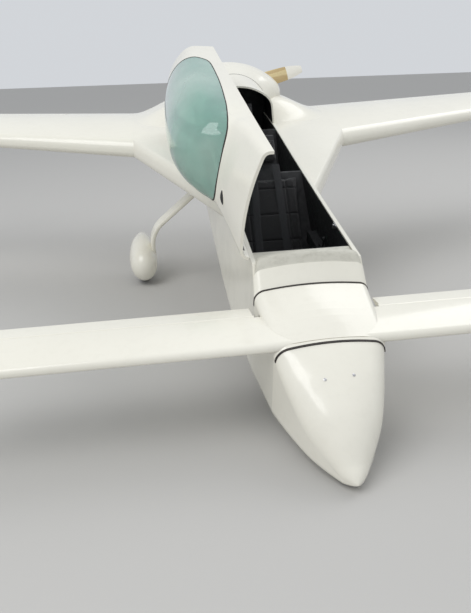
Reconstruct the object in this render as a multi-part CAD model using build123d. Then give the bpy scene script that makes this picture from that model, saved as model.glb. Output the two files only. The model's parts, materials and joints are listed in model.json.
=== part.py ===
from build123d import *
import math
import os

# A two-seat canard pusher light aircraft, parked on its nose with the nose wheel folded away.
#
# The model is drawn level, in the aircraft's own axes, and turned to its parked attitude at the end:
#   x  to port from the centreline
#   y  aft from just behind the nose tip
#   z  up from the bottom of the nose bumper
# All sizes are millimetres.

# Overall sizes
HALF_SPAN = 3385
NOSE_TIP = (0, -51, 66)

# Walls and running gaps
SKIN = 20
NOSE_WALL = 10
DECK_WALL = 12
CANOPY_WALL = 14
GLASS_WALL = 5
COWL_WALL = 8
CONTROL_GAP = 6
RUNNING = 0.05
SEAT_GAP = 0.3
HINGE_PIN_R = 3
HINGE_PIN_REACH = 14

# Panels in each gap between two sections of the nose and the cowling, and of the covers
NOSE_PARTS = 4
COWL_PARTS = 4
COVER_PARTS = 4

# Nose sections: station, lower half-width, half-width at the foot of the arch, floor, foot of the
# arch, crown, lower corner radius, shoulder radius
NOSE_TABLE = [
    (-45, 26, 30, 46, 67, 88, 12, 17),
    (-30, 46, 52, 32, 69, 112, 22, 34),
    (0, 60, 68, 20, 72, 132, 30, 46),
    (76, 108, 117, 6, 128, 218, 50, 72),
    (160, 152, 165, -2, 190, 290, 60, 80),
    (280, 196, 206, -12, 275, 358, 66, 68),
    (445, 244, 250, -25, 356, 424, 70, 56),
]

# Hull tub sections: station, lower half-width, half-width at the rail, floor, rail height,
# lower corner radius
FRONT_TUB_TABLE = [
    (445, 244, 250, -25, 384, 70),
    (772, 282, 276, -38, 428, 70),
    (889, 290, 266, -42, 559, 70),
]
TUB_TABLE = [
    (889, 290, 266, -42, 559, 70),
    (1397, 305, 264, -50, 559, 70),
    (2159, 288, 268, -50, 559, 70),
    (2845, 270, 276, -15, 559, 70),
    (3165, 267, 266, 40, 559, 70),
]

# Arched covers over the tub: station, half-width at the foot, foot, half-width at the spring of the
# shoulder arc, height of that spring, crown, shoulder radius
COVER_TABLE = [
    (449, 250, 386, 249, 389, 426, 30),
    (600, 264, 406, 263, 411, 474, 46),
    (772, 276, 430, 275, 437, 500, 54),
]
DECK_TABLE = [
    (776, 276, 434, 275, 441, 502, 52),
    (889, 266, 560, 263, 574, 626, 40),
]
CANOPY_TABLE = [
    (895, 266, 565, 263, 580, 636, 42),
    (1150, 264, 565, 258, 592, 664, 55),
    (1400, 263, 565, 254, 615, 702, 75),
    (1520, 263, 565, 250, 655, 790, 110),
    (1620, 264, 565, 250, 705, 868, 140),
    (1850, 266, 565, 250, 730, 918, 155),
    (2300, 268, 565, 252, 710, 898, 145),
    (2880, 272, 565, 257, 680, 836, 125),
]
TURTLEDECK_TABLE = [
    (2886, 272, 560, 257, 680, 836, 125),
    (3165, 266, 560, 262, 640, 850, 130),
]

# Cowling sections: as the nose table
COWL_TABLE = [
    (3175, 267, 262, 40, 640, 850, 70, 130),
    (3440, 400, 438, 110, 610, 872, 120, 150),
    (3735, 150, 180, 350, 570, 735, 100, 120),
]
COWL_SPLIT = 545

# Stations and the rail height that other pieces take from the sections above
CANOPY_FRONT = CANOPY_TABLE[0][0]
FIREWALL = COWL_TABLE[0][0]
COWL_REAR = COWL_TABLE[-1][0]
RAIL = TUB_TABLE[0][4]
LEDGE_REAR = 1010

# Airfoil shape, as shares of the chord
CREST_PLACE = 0.35
EDGE_HALF = 0.004

# Canard
CANARD_HALF_SPAN = 1905
CANARD_CHORD = 330
CANARD_LEAD = 438
CANARD_Z = 392
CANARD_UPPER = 0.105
CANARD_LOWER = 0.055
ELEVATOR_PLACE = 0.71
ELEVATOR_INNER = 296
ELEVATOR_OUTER = CANARD_HALF_SPAN - 35
TORQUE_TUBE_R = 9

# Wing and strake
WING_JOINT = 775
WING_LEAD = 2751
WING_CHORD = 914
WING_Z = 432
WING_UPPER = 0.108
WING_LOWER = 0.062
TIP_LEAD = 3714
TIP_CHORD = 425
TIP_Z = 392
STRAKE_INNER = 240
STRAKE_LEAD = 1652
STRAKE_TRAIL = 3660
STRAKE_UPPER = 0.053
STRAKE_LOWER = 0.036
AILERON_INNER = 1300
AILERON_OUTER = 2500
AILERON_PLACE = 0.78

# Winglet
WINGLET_TOP = 1257
WINGLET_BOTTOM = 170
WINGLET_TIP_CHORD = 260
WINGLET_TIP_LEAD = 4010
WINGLET_FOOT_CHORD = 235
WINGLET_HALF_THICKNESS = 0.055
RUDDER_BOTTOM = 470
RUDDER_TOP = 930
RUDDER_PLACE = 0.68

# Canopy hinge, glass outline and pose
HINGE_X = -284
HINGE_Z = 562
HINGE_R = 6
HINGE_LENGTH = 64
HINGE_STATIONS = (1080, 1640, 2220, 2800)
CANOPY_OPEN = 79
GLASS_SILL = 632
GLASS_FRONT = 1490
GLASS_FRONT_CORNER = 1752
GLASS_REAR = 2550
GLASS_REAR_RADIUS = 80

# Seat backs
SEAT_TOP = 552
SEAT_WIDTH_HALF = 205

# Main gear
WHEEL_X = 775
WHEEL_Y = 2820
WHEEL_Z = -518
TYRE_R = 140
TYRE_WIDTH = 98
RIM_R = 72
AXLE_R = 12
PANT_LENGTH = 660
PANT_HALF_WIDTH = 110
PANT_HALF_HEIGHT = 140
PANT_NOSE = 0.36
PANT_LIFT = 54
WHEEL_CLEAR = 12
LEG_CHORD = 108
LEG_THICK = 34
LEG_CLEAR = 6
LEG_FOOT_X = WHEEL_X - TYRE_WIDTH / 2 - WHEEL_CLEAR - LEG_THICK / 2 - LEG_CLEAR

# Nose gear, folded aft into its well
NOSE_WHEEL_Y = 1045
NOSE_WHEEL_Z = -4
NOSE_TYRE_R = 120
NOSE_TYRE_WIDTH = 70
NOSE_RIM_R = 58
NOSE_PIVOT = (470, 92)
FORK_CLEAR = 6
FORK_WALL = 8
WELL_CLEAR = 7
WELL_WALL = 6
WELL_HALF_WIDTH = NOSE_TYRE_WIDTH / 2 + FORK_CLEAR + FORK_WALL + WELL_CLEAR + WELL_WALL
WELL_FRONT = 452
WELL_REAR = 1195
WELL_TOP = 152

# Nose bumper
BUMPER_Y = 60
BUMPER_Z = 37
BUMPER_R = 50
BUMPER_HALF_WIDTH = 34

# Engine and propeller
ENGINE_REAR = 3700
PROP_R = 724
PROP_Y = 3800
PROP_Z = 540
PROP_PITCH = 1500
PROP_REST = 14

# Blade sections: share of the propeller's radius, chord, thickness above the chord
BLADE_TABLE = [
    (50 / 724, 96, 34),
    (220 / 724, 128, 22),
    (460 / 724, 122, 13),
    (650 / 724, 92, 8),
    (1, 52, 5),
]
SPINNER_R = 118
SPINNER_LENGTH = 210
SHAFT_R = 40
EXHAUST_END = 3716

# Tie-down eyes
TIE_X = 1020
TIE_Y = 3080
EYE_R = 10
EYE_OUTER_R = 22
EYE_THICK = 6

PORT = 1
STARBOARD = -1


# Flat outlines

def across(y):
    """Plane square to the hull at station y, with x across and z up."""
    return Plane(origin=(0, y, 0), x_dir=(1, 0, 0), z_dir=(0, -1, 0))


def fore_aft(x):
    """Plane along the hull at x, with y aft and z up."""
    return Plane(origin=(x, 0, 0), x_dir=(0, 1, 0), z_dir=(1, 0, 0))


def level(z):
    """Plane level with the ground at height z, with x across and y aft."""
    return Plane(origin=(0, 0, z))


def corner_runs(corners):
    """Runs and tangent arcs round a closed loop of corners, each (u, v, radius)."""
    ends = []
    count = len(corners)
    for i, (u, v, radius) in enumerate(corners):
        before = corners[i - 1]
        after = corners[(i + 1) % count]
        if radius == 0:
            ends.append(((u, v), None, (u, v)))
            continue
        into = (before[0] - u, before[1] - v)
        out = (after[0] - u, after[1] - v)
        into_len = math.hypot(*into)
        out_len = math.hypot(*out)
        into = (into[0] / into_len, into[1] / into_len)
        out = (out[0] / out_len, out[1] / out_len)
        half_angle = math.acos(into[0] * out[0] + into[1] * out[1]) / 2
        reach = radius / math.tan(half_angle)
        bisector = (into[0] + out[0], into[1] + out[1])
        size = math.hypot(*bisector)
        inset = radius / math.sin(half_angle) - radius
        middle = (u + bisector[0] / size * inset, v + bisector[1] / size * inset)
        start = (u + into[0] * reach, v + into[1] * reach)
        end = (u + out[0] * reach, v + out[1] * reach)
        ends.append((start, middle, end))
    runs = []
    for i, (start, middle, end) in enumerate(ends):
        if middle:
            runs.append(("arc", start, middle, end))
        following = ends[(i + 1) % count][0]
        if math.dist(end, following) > 1e-6:
            runs.append(("line", end, following))
    return runs


def make_edges(runs):
    """Edges in the local plane for a list of lines and three-point arcs."""
    edges = []
    for run in runs:
        points = [(u, v, 0) for u, v in run[1:]]
        if run[0] == "line":
            edges.append(Edge.make_line(*points))
        else:
            edges.append(Edge.make_three_point_arc(*points))
    return edges


def face_on(plane, runs):
    """A flat face bounded by the runs, laid on a plane."""
    return plane * Face(Wire(make_edges(runs)))


def rounded_face(plane, corners):
    return face_on(plane, corner_runs(corners))


def arch_circles(top_half, spring, crown, shoulder, tilt):
    """Centre of the port shoulder arc, and height and radius of the crown arc tangent to it."""
    out = top_half - shoulder * math.cos(tilt)
    up = spring - shoulder * math.sin(tilt)
    rise = crown - up
    radius = (out**2 + rise**2 - shoulder**2) / (2 * (rise - shoulder))
    return (out, up), crown - radius, radius


def arch_runs(half, foot, top_half, spring, crown, shoulder, wall=0):
    """Arch from the port foot over to the starboard foot, offset inwards by wall.

    A side leans from the foot to the spring point, then a shoulder arc and a crown arc follow, each
    tangent to the last. With the foot at the spring point there is no side.
    """
    tilt = math.atan2(half - top_half, spring - foot) if spring > foot else 0
    (out, up), centre, radius = arch_circles(top_half, spring, crown, shoulder, tilt)
    small = shoulder - wall
    lean = math.atan2(up - centre, out)

    def on_shoulder(angle):
        return (out + small * math.cos(angle), up + small * math.sin(angle))

    start = on_shoulder(tilt)
    meet = on_shoulder(lean)
    port = [("arc", start, on_shoulder((tilt + lean) / 2), meet)]
    if spring > foot:
        port.insert(0, ("line", (half - wall / math.cos(tilt), foot), start))
    over = ("arc", meet, (0, centre + radius - wall), (-meet[0], meet[1]))
    starboard = [(run[0], *[(-u, v) for u, v in reversed(run[1:])]) for run in reversed(port)]
    return port + [over] + starboard


def reverse_runs(runs):
    return [(run[0], *reversed(run[1:])) for run in reversed(runs)]


def arch_ring(y, half, foot, top_half, spring, crown, shoulder, wall):
    """Section of an arched panel: outer arch, inner arch and the two feet."""
    outer = arch_runs(half, foot, top_half, spring, crown, shoulder)
    inner = reverse_runs(arch_runs(half, foot, top_half, spring, crown, shoulder, wall))
    starboard_foot = ("line", outer[-1][-1], inner[0][1])
    port_foot = ("line", inner[-1][-1], outer[0][1])
    return face_on(across(y), outer + [starboard_foot] + inner + [port_foot])


def closed_section(y, low, half, floor, foot, crown, corner, shoulder, inset=0):
    """Closed hull section: flat floor, rounded corners, sides and an arched top."""
    low -= inset
    half -= inset
    floor += inset
    crown -= inset
    corner -= inset
    shoulder -= inset
    lower = corner_runs([(-half, foot, 0), (-low, floor, corner), (low, floor, corner), (half, foot, 0)])
    lower = [run for run in lower if run[1:] != ((half, foot), (-half, foot))]
    return face_on(across(y), lower + arch_runs(half, foot, half, foot, crown, shoulder))


def tub_section(y, low, half, floor, rail, corner, wall=SKIN):
    """Open-topped hull section of one wall thickness."""
    inner = corner - wall
    return rounded_face(across(y), [
        (-half, rail, 0), (-low, floor, corner), (low, floor, corner), (half, rail, 0),
        (half - wall, rail, 0), (low - wall, floor + wall, inner),
        (-low + wall, floor + wall, inner), (-half + wall, rail, 0),
    ])


def slope_at(table, i, column):
    """Slope of a column at row i, level at a turning point so that the curve never overshoots."""
    if i == 0:
        return rise_per_station(table, 0, column)
    if i == len(table) - 1:
        return rise_per_station(table, i - 1, column)
    before = rise_per_station(table, i - 1, column)
    after = rise_per_station(table, i, column)
    if before * after <= 0:
        return 0
    return 2 * before * after / (before + after)


def rise_per_station(table, i, column):
    return (table[i + 1][column] - table[i][column]) / (table[i + 1][0] - table[i][0])


def refined(table, parts):
    """The table's rows with each gap split into parts, every column on a smooth cubic."""
    rows = []
    for i in range(len(table) - 1):
        span = table[i + 1][0] - table[i][0]
        for step in range(parts):
            t = step / parts
            row = [table[i][0] + t * span]
            for column in range(1, len(table[0])):
                start = table[i][column]
                end = table[i + 1][column]
                leave = slope_at(table, i, column) * span
                arrive = slope_at(table, i + 1, column) * span
                row.append((2 * t**3 - 3 * t**2 + 1) * start + (t**3 - 2 * t**2 + t) * leave
                           + (3 * t**2 - 2 * t**3) * end + (t**3 - t**2) * arrive)
            rows.append(tuple(row))
    return rows + [tuple(table[-1])]


def airfoil_heights(chord, upper, lower, x):
    """Heights of the upper and lower surface above the chord line, x behind the leading edge."""
    crest = CREST_PLACE * chord
    edge = EDGE_HALF * chord
    heights = []
    for share, sign in ((upper, 1), (lower, -1)):
        top = share * chord
        drop = ((chord - crest) ** 2 + edge**2 - top**2) / (2 * (top - edge))
        heights.append(sign * (math.sqrt((top + drop) ** 2 - (x - crest) ** 2) - drop))
    return heights


def airfoil_runs(lead, chord, height, upper, lower):
    """Airfoil of a nose arc and a crest arc above, the same below, and a blunt trailing edge."""
    crest = CREST_PLACE * chord
    edge = EDGE_HALF * chord
    sides = []
    for share, sign in ((upper, 1), (lower, -1)):
        top = share * chord
        drop = ((chord - crest) ** 2 + edge**2 - top**2) / (2 * (top - edge))
        big = top + drop
        nose = (crest**2 + drop**2 - big**2) / (2 * (crest - big))
        toward = math.atan2(drop, nose - crest)
        meet = (crest + big * math.cos(toward), big * math.sin(toward) - drop)
        bow_angle = (math.pi + toward) / 2
        bow = (nose + nose * math.cos(bow_angle), nose * math.sin(bow_angle))
        points = [(0, 0), bow, meet, (crest, top), (chord, edge)]
        sides.append([(lead + u, height + sign * v) for u, v in points])
    above, below = sides
    return [
        ("arc", above[0], above[1], above[2]),
        ("arc", above[2], above[3], above[4]),
        ("line", above[4], below[4]),
        ("arc", below[4], below[3], below[2]),
        ("arc", below[2], below[1], below[0]),
    ]


def wing_panel(inner, outer):
    """Loft between two airfoils, each (x, lead, chord, height, upper, lower)."""
    return loft([face_on(fore_aft(s[0]), airfoil_runs(*s[1:])) for s in (inner, outer)], ruled=True)


def mirrored(shape):
    return mirror(shape, about=Plane.YZ)


def box_between(low, high):
    size = [b - a for a, b in zip(low, high)]
    middle = [(a + b) / 2 for a, b in zip(low, high)]
    return Pos(*middle) * Box(*size)


def rod(start, end, radius, end_radius=None):
    """Round bar, or a cone, from one point to another."""
    axis = Vector(*end) - Vector(*start)
    plane = Plane(origin=start, z_dir=axis)
    if end_radius is None or abs(end_radius - radius) < 1e-6:
        return Part(Solid.make_cylinder(radius, axis.length, plane).wrapped)
    return Part(Solid.make_cone(radius, end_radius, axis.length, plane).wrapped)


def split_control(surface, start, end, aft, start_r, end_r, depth, pinned=(True, True)):
    """Cut a hinged control out of a surface.

    start and end are the ends of the hinge line, aft is the direction of the trailing edge, and the
    radii are those of the control's round nose. A pinned end gets a pin on the fixed piece that runs
    in a bore in the control. Returns the fixed piece and the control.
    """
    gap = CONTROL_GAP
    line = Vector(*end) - Vector(*start)
    along = line.normalized()
    back = Vector(*aft)
    back = (back - along * back.dot(along)).normalized()
    blade = Plane(origin=start, x_dir=along, z_dir=back)
    length = line.length
    tall = 300
    block = blade * (Pos(length / 2, 0, depth / 2) * Box(length, tall, depth))
    slot = blade * (Pos(length / 2, 0, depth / 2) * Box(length + 2 * gap, tall, depth))
    stretch = along * gap
    far_start = tuple(Vector(*start) - stretch)
    far_end = tuple(Vector(*end) + stretch)
    nose = rod(start, end, start_r, end_r)
    cove = rod(far_start, far_end, start_r + gap, end_r + gap)
    fixed = surface - slot - cove
    control = (surface & block) + nose
    for has_pin, point, inward in zip(pinned, (start, end), (along, -along)):
        if has_pin:
            root = Vector(*point) - inward * (gap + HINGE_PIN_REACH)
            mouth = Vector(*point) - inward
            tip = Vector(*point) + inward * HINGE_PIN_REACH
            fixed += rod(tuple(root), tuple(tip), HINGE_PIN_R)
            control -= rod(tuple(mouth), tuple(tip + inward), HINGE_PIN_R + RUNNING)
    return fixed, control


# Hull

def closed_body(table, parts, inset=0):
    return loft([closed_section(*row, inset=inset) for row in refined(table, parts)], ruled=True)


def nose_outer():
    tip = loft([Vertex(*NOSE_TIP), closed_section(*NOSE_TABLE[0])], ruled=True)
    return closed_body(NOSE_TABLE, NOSE_PARTS) + tip


def nose_shell(outer, canard):
    return outer - closed_body(NOSE_TABLE[3:], NOSE_PARTS, inset=NOSE_WALL) - canard


def hull_tub():
    front = loft([tub_section(*row) for row in FRONT_TUB_TABLE], ruled=True)
    rear = loft([tub_section(*row) for row in refined(TUB_TABLE, 3)], ruled=True)
    return front, rear


def tub_core(wall=0, top=None):
    """The tub's outer or inner volume, closed level with the rails or carried up to top."""
    faces = []
    for y, low, half, floor, rail, corner in refined(TUB_TABLE, 3):
        corners = [(-half + wall, rail, 0), (-low + wall, floor + wall, corner - wall),
                   (low - wall, floor + wall, corner - wall), (half - wall, rail, 0)]
        if top:
            corners += [(half - wall, top, 0), (-half + wall, top, 0)]
        faces.append(rounded_face(across(y), corners))
    return loft(faces, ruled=True)


def arched_panel(table, wall):
    return loft([arch_ring(*row, wall) for row in refined(table, COVER_PARTS)], ruled=True)


def cowling():
    outer = closed_body(COWL_TABLE, COWL_PARTS)
    shell = outer - closed_body(COWL_TABLE, COWL_PARTS, inset=COWL_WALL)
    above = box_between((-600, FIREWALL - 10, COWL_SPLIT + 1), (600, COWL_REAR + 10, 1000))
    below = box_between((-600, FIREWALL - 10, -100), (600, COWL_REAR + 10, COWL_SPLIT - 1))
    return outer, shell & above, shell & below


# Lifting surfaces

def wing_at(x):
    """Lead, chord and height of the wing at x, between the joint and the tip."""
    share = (abs(x) - WING_JOINT) / (WINGLET_X - WING_JOINT)
    values = []
    for root, tip in ((WING_LEAD, TIP_LEAD), (WING_CHORD, TIP_CHORD), (WING_Z, TIP_Z)):
        values.append(root + share * (tip - root))
    return values


def wing_hinge(x):
    """Hinge point and nose radius of the aileron at x."""
    lead, chord, height = wing_at(x)
    above, below = airfoil_heights(chord, WING_UPPER, WING_LOWER, AILERON_PLACE * chord)
    return (x, lead + AILERON_PLACE * chord, height + (above + below) / 2), (above - below) / 2


def winglet_at(z):
    """Lead and chord of the winglet at height z."""
    if z >= TIP_Z:
        share = (z - TIP_Z) / (WINGLET_TOP - TIP_Z)
        far = (WINGLET_TIP_LEAD, WINGLET_TIP_CHORD)
    else:
        share = (TIP_Z - z) / (TIP_Z - WINGLET_BOTTOM)
        far = (TIP_LEAD + TIP_CHORD - WINGLET_FOOT_CHORD, WINGLET_FOOT_CHORD)
    return TIP_LEAD + share * (far[0] - TIP_LEAD), TIP_CHORD + share * (far[1] - TIP_CHORD)


def winglet_section(z):
    lead, chord = winglet_at(z)
    plane = Plane(origin=(0, 0, z), x_dir=(0, 1, 0), z_dir=(0, 0, -1))
    half = WINGLET_HALF_THICKNESS
    return face_on(plane, airfoil_runs(lead, chord, WINGLET_X, half, half))


def winglet_and_rudder():
    fin = loft([winglet_section(TIP_Z), winglet_section(WINGLET_TOP)], ruled=True)
    foot = loft([winglet_section(WINGLET_BOTTOM), winglet_section(TIP_Z)], ruled=True)
    start, start_r = rudder_hinge(RUDDER_BOTTOM)
    end, end_r = rudder_hinge(RUDDER_TOP)
    return split_control(fin + foot, start, end, (0, 1, 0), start_r, end_r, WINGLET_TIP_CHORD)


def rudder_hinge(z):
    lead, chord = winglet_at(z)
    half = WINGLET_HALF_THICKNESS
    radius = airfoil_heights(chord, half, half, RUDDER_PLACE * chord)[0]
    return (WINGLET_X, lead + RUDDER_PLACE * chord, z), radius


def wing_and_aileron(winglet):
    lead, chord, height = wing_at(WINGLET_X)
    root = (WING_JOINT, WING_LEAD, WING_CHORD, WING_Z, WING_UPPER, WING_LOWER)
    tip = (WINGLET_X, lead, chord, height, WING_UPPER, WING_LOWER)
    panel = wing_panel(root, tip) - winglet
    start, start_r = wing_hinge(AILERON_INNER)
    end, end_r = wing_hinge(AILERON_OUTER)
    return split_control(panel, start, end, (0, 1, 0), start_r, end_r, WING_CHORD / 2)


def strake(hull):
    inner = (STRAKE_INNER, STRAKE_LEAD, STRAKE_TRAIL - STRAKE_LEAD, WING_Z, STRAKE_UPPER, STRAKE_LOWER)
    outer = (WING_JOINT, WING_LEAD, WING_CHORD, WING_Z, WING_UPPER, WING_LOWER)
    return wing_panel(inner, outer) - hull


def elevator_hinge():
    """Height of the elevator hinge line and the radius of the elevator's nose."""
    above, below = airfoil_heights(CANARD_CHORD, CANARD_UPPER, CANARD_LOWER, ELEVATOR_PLACE * CANARD_CHORD)
    return CANARD_Z + (above + below) / 2, (above - below) / 2


def canard_and_elevators():
    ends = [(side * CANARD_HALF_SPAN, CANARD_LEAD, CANARD_CHORD, CANARD_Z, CANARD_UPPER, CANARD_LOWER)
            for side in (STARBOARD, PORT)]
    plane = wing_panel(*ends)
    z, radius = elevator_hinge()
    middle_cut = box_between((-ELEVATOR_INNER - CONTROL_GAP, ELEVATOR_Y - TORQUE_TUBE_R - CONTROL_GAP, z - 100),
                             (ELEVATOR_INNER + CONTROL_GAP, ELEVATOR_Y + 200, z + 100))
    plane -= middle_cut
    elevators = []
    for side in (PORT, STARBOARD):
        start = (side * ELEVATOR_INNER, ELEVATOR_Y, z)
        end = (side * ELEVATOR_OUTER, ELEVATOR_Y, z)
        plane, elevator = split_control(plane, start, end, (0, 1, 0), radius, radius, CANARD_CHORD, (False, True))
        elevators.append(elevator)
    tube = rod((-ELEVATOR_INNER, ELEVATOR_Y, z), (ELEVATOR_INNER, ELEVATOR_Y, z), TORQUE_TUBE_R)
    return plane, elevators, tube


# Canopy

def glass_outline():
    """Solid that holds the glazed area: round in front, level along the sill, round at the rear foot."""
    wide = 330
    corner = 258
    front = [
        ("arc", (-corner, GLASS_FRONT_CORNER), (0, GLASS_FRONT), (corner, GLASS_FRONT_CORNER)),
        ("line", (corner, GLASS_FRONT_CORNER), (wide, GLASS_FRONT_CORNER)),
        ("line", (wide, GLASS_FRONT_CORNER), (wide, GLASS_REAR + 50)),
        ("line", (wide, GLASS_REAR + 50), (-wide, GLASS_REAR + 50)),
        ("line", (-wide, GLASS_REAR + 50), (-wide, GLASS_FRONT_CORNER)),
        ("line", (-wide, GLASS_FRONT_CORNER), (-corner, GLASS_FRONT_CORNER)),
    ]
    plan = extrude(face_on(level(GLASS_SILL - 50), front), amount=600, dir=(0, 0, 1))
    side = rounded_face(fore_aft(-wide), [
        (GLASS_FRONT - 50, GLASS_SILL, 0), (GLASS_REAR, GLASS_SILL, GLASS_REAR_RADIUS),
        (GLASS_REAR, 1100, 0), (GLASS_FRONT - 50, 1100, 0),
    ])
    return plan & extrude(side, amount=2 * wide, dir=(1, 0, 0))


def opened(shape):
    return shape.rotate(Axis((HINGE_X, 0, HINGE_Z), (0, -1, 0)), CANOPY_OPEN)


def canopy_parts():
    window = glass_outline()
    frame = arched_panel(CANOPY_TABLE, CANOPY_WALL) - window
    glass = arched_panel(CANOPY_TABLE, GLASS_WALL) & window
    return frame, glass


def hinge_leaves(hull_side, frame):
    """Three-knuckle hinges: two outer knuckles on the hull, the middle one on the canopy."""
    fixed = []
    moving = []
    third = HINGE_LENGTH / 3
    for y in HINGE_STATIONS:
        pin = rod((HINGE_X, y - 1.5 * third, HINGE_Z), (HINGE_X, y + 1.5 * third, HINGE_Z), 2.5)
        outer = pin
        for step in (-1, 1):
            near = y + step * third - third / 2 + 0.5
            outer += rod((HINGE_X, near, HINGE_Z), (HINGE_X, near + third - 1, HINGE_Z), HINGE_R)
            outer += box_between((HINGE_X - 1.5, near, HINGE_Z - 18), (HINGE_X + 1.5, near + third - 1, HINGE_Z))
            outer += box_between((HINGE_X, near, HINGE_Z - 18), (HINGE_X + 20, near + third - 1, HINGE_Z - 8))
        fixed.append(outer - hull_side)
        near = y - third / 2 + 0.5
        inner = rod((HINGE_X, near, HINGE_Z), (HINGE_X, near + third - 1, HINGE_Z), HINGE_R)
        inner += box_between((HINGE_X - 1.5, near, HINGE_Z), (HINGE_X + 1.5, near + third - 1, HINGE_Z + 26))
        inner += box_between((HINGE_X, near, HINGE_Z + 14), (HINGE_X + 26, near + third - 1, HINGE_Z + 26))
        inner -= rod((HINGE_X, near - 1, HINGE_Z), (HINGE_X, near + third + 1, HINGE_Z), 2.55)
        moving.append(inner - frame)
    return fixed, moving


# Cabin

def seat_back(foot, head, post_top):
    """Leaning bulkhead between two (y, z) points, with a narrower post carried on to post_top."""
    slope = (head[0] - foot[0]) / (head[1] - foot[1])
    cabin = tub_core(SKIN + SEAT_GAP, top=620)
    post_y = head[0] + slope * (post_top - head[1])
    main = rounded_face(fore_aft(-350), [(*foot, 0), (foot[0] + 20, foot[1], 0), (head[0] + 20, head[1], 0), (*head, 0)])
    post = rounded_face(fore_aft(-95), [(*head, 0), (head[0] + 20, head[1], 0), (post_y + 20, post_top, 0), (post_y, post_top, 0)])
    return (extrude(main, amount=700, dir=(1, 0, 0)) & cabin) + extrude(post, amount=190, dir=(1, 0, 0))


def cushion(corners, half_width, radius=18):
    """Plain pad: a side outline carried across the seat."""
    rounded = [(y, z, radius) for y, z in corners]
    return extrude(rounded_face(fore_aft(-half_width), rounded), amount=2 * half_width, dir=(1, 0, 0))


def seat_pads(foot, head, half_width, pan_length):
    """Back pad and pan pad of one reclined seat, resting on its leaning bulkhead."""
    lean = math.atan2(head[1] - foot[1], head[0] - foot[0])
    along = (math.cos(lean), math.sin(lean))
    out = (-along[1], along[0])
    thick = 55
    start = (foot[0] + along[0] * 95 + out[0] * 0.5, foot[1] + along[1] * 95 + out[1] * 0.5)
    end = (head[0] - along[0] * 30 + out[0] * 0.5, head[1] - along[1] * 30 + out[1] * 0.5)
    back = cushion([start, end, (end[0] + out[0] * thick, end[1] + out[1] * thick),
                    (start[0] + out[0] * thick, start[1] + out[1] * thick)], half_width)
    rear = foot[0] - 4
    low = foot[1] - 2.4
    pan = cushion([(rear - pan_length, low + 16), (rear, low), (rear + 30, low + 52), (rear - 20, low + 72),
                   (rear - pan_length, low + 88)], half_width - 30)
    return back, pan


def headrest(foot, head, low, high, half_width):
    """Pad on the seat back's post between two heights."""
    slope = (head[0] - foot[0]) / (head[1] - foot[1])
    near = head[0] + slope * (low - head[1]) - 0.5
    far = head[0] + slope * (high - head[1]) - 0.5
    return cushion([(near - 52, low), (near, low), (far, high), (far - 52, high)], half_width)


def instrument_panel():
    top = RAIL - 14
    outline = rounded_face(across(LEDGE_REAR + 12), [
        (-238, top, 12), (-262, 290, 20), (-62, 290, 20), (-62, 200, 4), (62, 200, 4), (62, 290, 20),
        (262, 290, 20), (238, top, 12)])
    return extrude(outline, amount=10, dir=(0, -1, 0)) & tub_core(SKIN + SEAT_GAP)


def sill_ledge():
    slab = box_between((-300, CANOPY_FRONT - 5, RAIL - 22), (300, LEDGE_REAR, RAIL - 10))
    return slab & tub_core(SKIN + SEAT_GAP)


def side_consoles():
    block = box_between((150, 1190, 262), (320, 1600, 330)) & tub_core(SKIN + SEAT_GAP)
    block = block - box_between((100, 1100, 200), (205, 1700, 400))
    return [block, mirrored(block)]


def hand_controls():
    stick = rod((-232, 1370, 332), (-224, 1362, 432), 9, 13) + Pos(-224, 1362, 436) * Sphere(16)
    quadrant = box_between((222, 1340, 330.3), (246, 1420, 346))
    lever = rod((234, 1380, 340), (232, 1366, 398), 5) + Pos(232, 1366, 402) * Sphere(11)
    return [stick, quadrant + lever]


def nose_gear_well():
    outer = box_between((-WELL_HALF_WIDTH, WELL_FRONT, -22), (WELL_HALF_WIDTH, WELL_REAR, WELL_TOP))
    inner = box_between((-WELL_HALF_WIDTH + WELL_WALL, WELL_FRONT + WELL_WALL, -60),
                        (WELL_HALF_WIDTH - WELL_WALL, WELL_REAR - WELL_WALL, WELL_TOP - WELL_WALL))
    return outer - inner


# Landing gear

def wheel(x, y, z, radius, width, rim, bore, shoulder):
    """Tyre and hub about a cross axle."""
    def ring(inner, outer, wide, round_off):
        half = wide / 2
        plane = Plane(origin=(x, y, z), x_dir=(1, 0, 0), z_dir=(0, -1, 0))
        outline = rounded_face(plane, [(-half, inner, 0), (half, inner, 0), (half, outer, round_off), (-half, outer, round_off)])
        return revolve(outline, Axis((x, y, z), (1, 0, 0)))
    return ring(rim, radius, width, shoulder), ring(bore, rim, width * 0.82, 6)


def gear_leg():
    """One bow from the centreline to the axle, its section carried along runs and tangent arcs."""
    y = WHEEL_Y - 20
    points = [(0, y, 150), (285, y, 142), (LEG_FOOT_X, y, -216), (LEG_FOOT_X, y, WHEEL_Z - 27)]
    path = FilletPolyline(*points, radius=[220, 250])
    start = Plane(origin=points[0], z_dir=path % 0, x_dir=(0, 1, 0))
    section = start * RectangleRounded(LEG_CHORD, LEG_THICK, LEG_THICK * 0.42)
    half = sweep(section, path)
    return half + mirrored(half)


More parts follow.
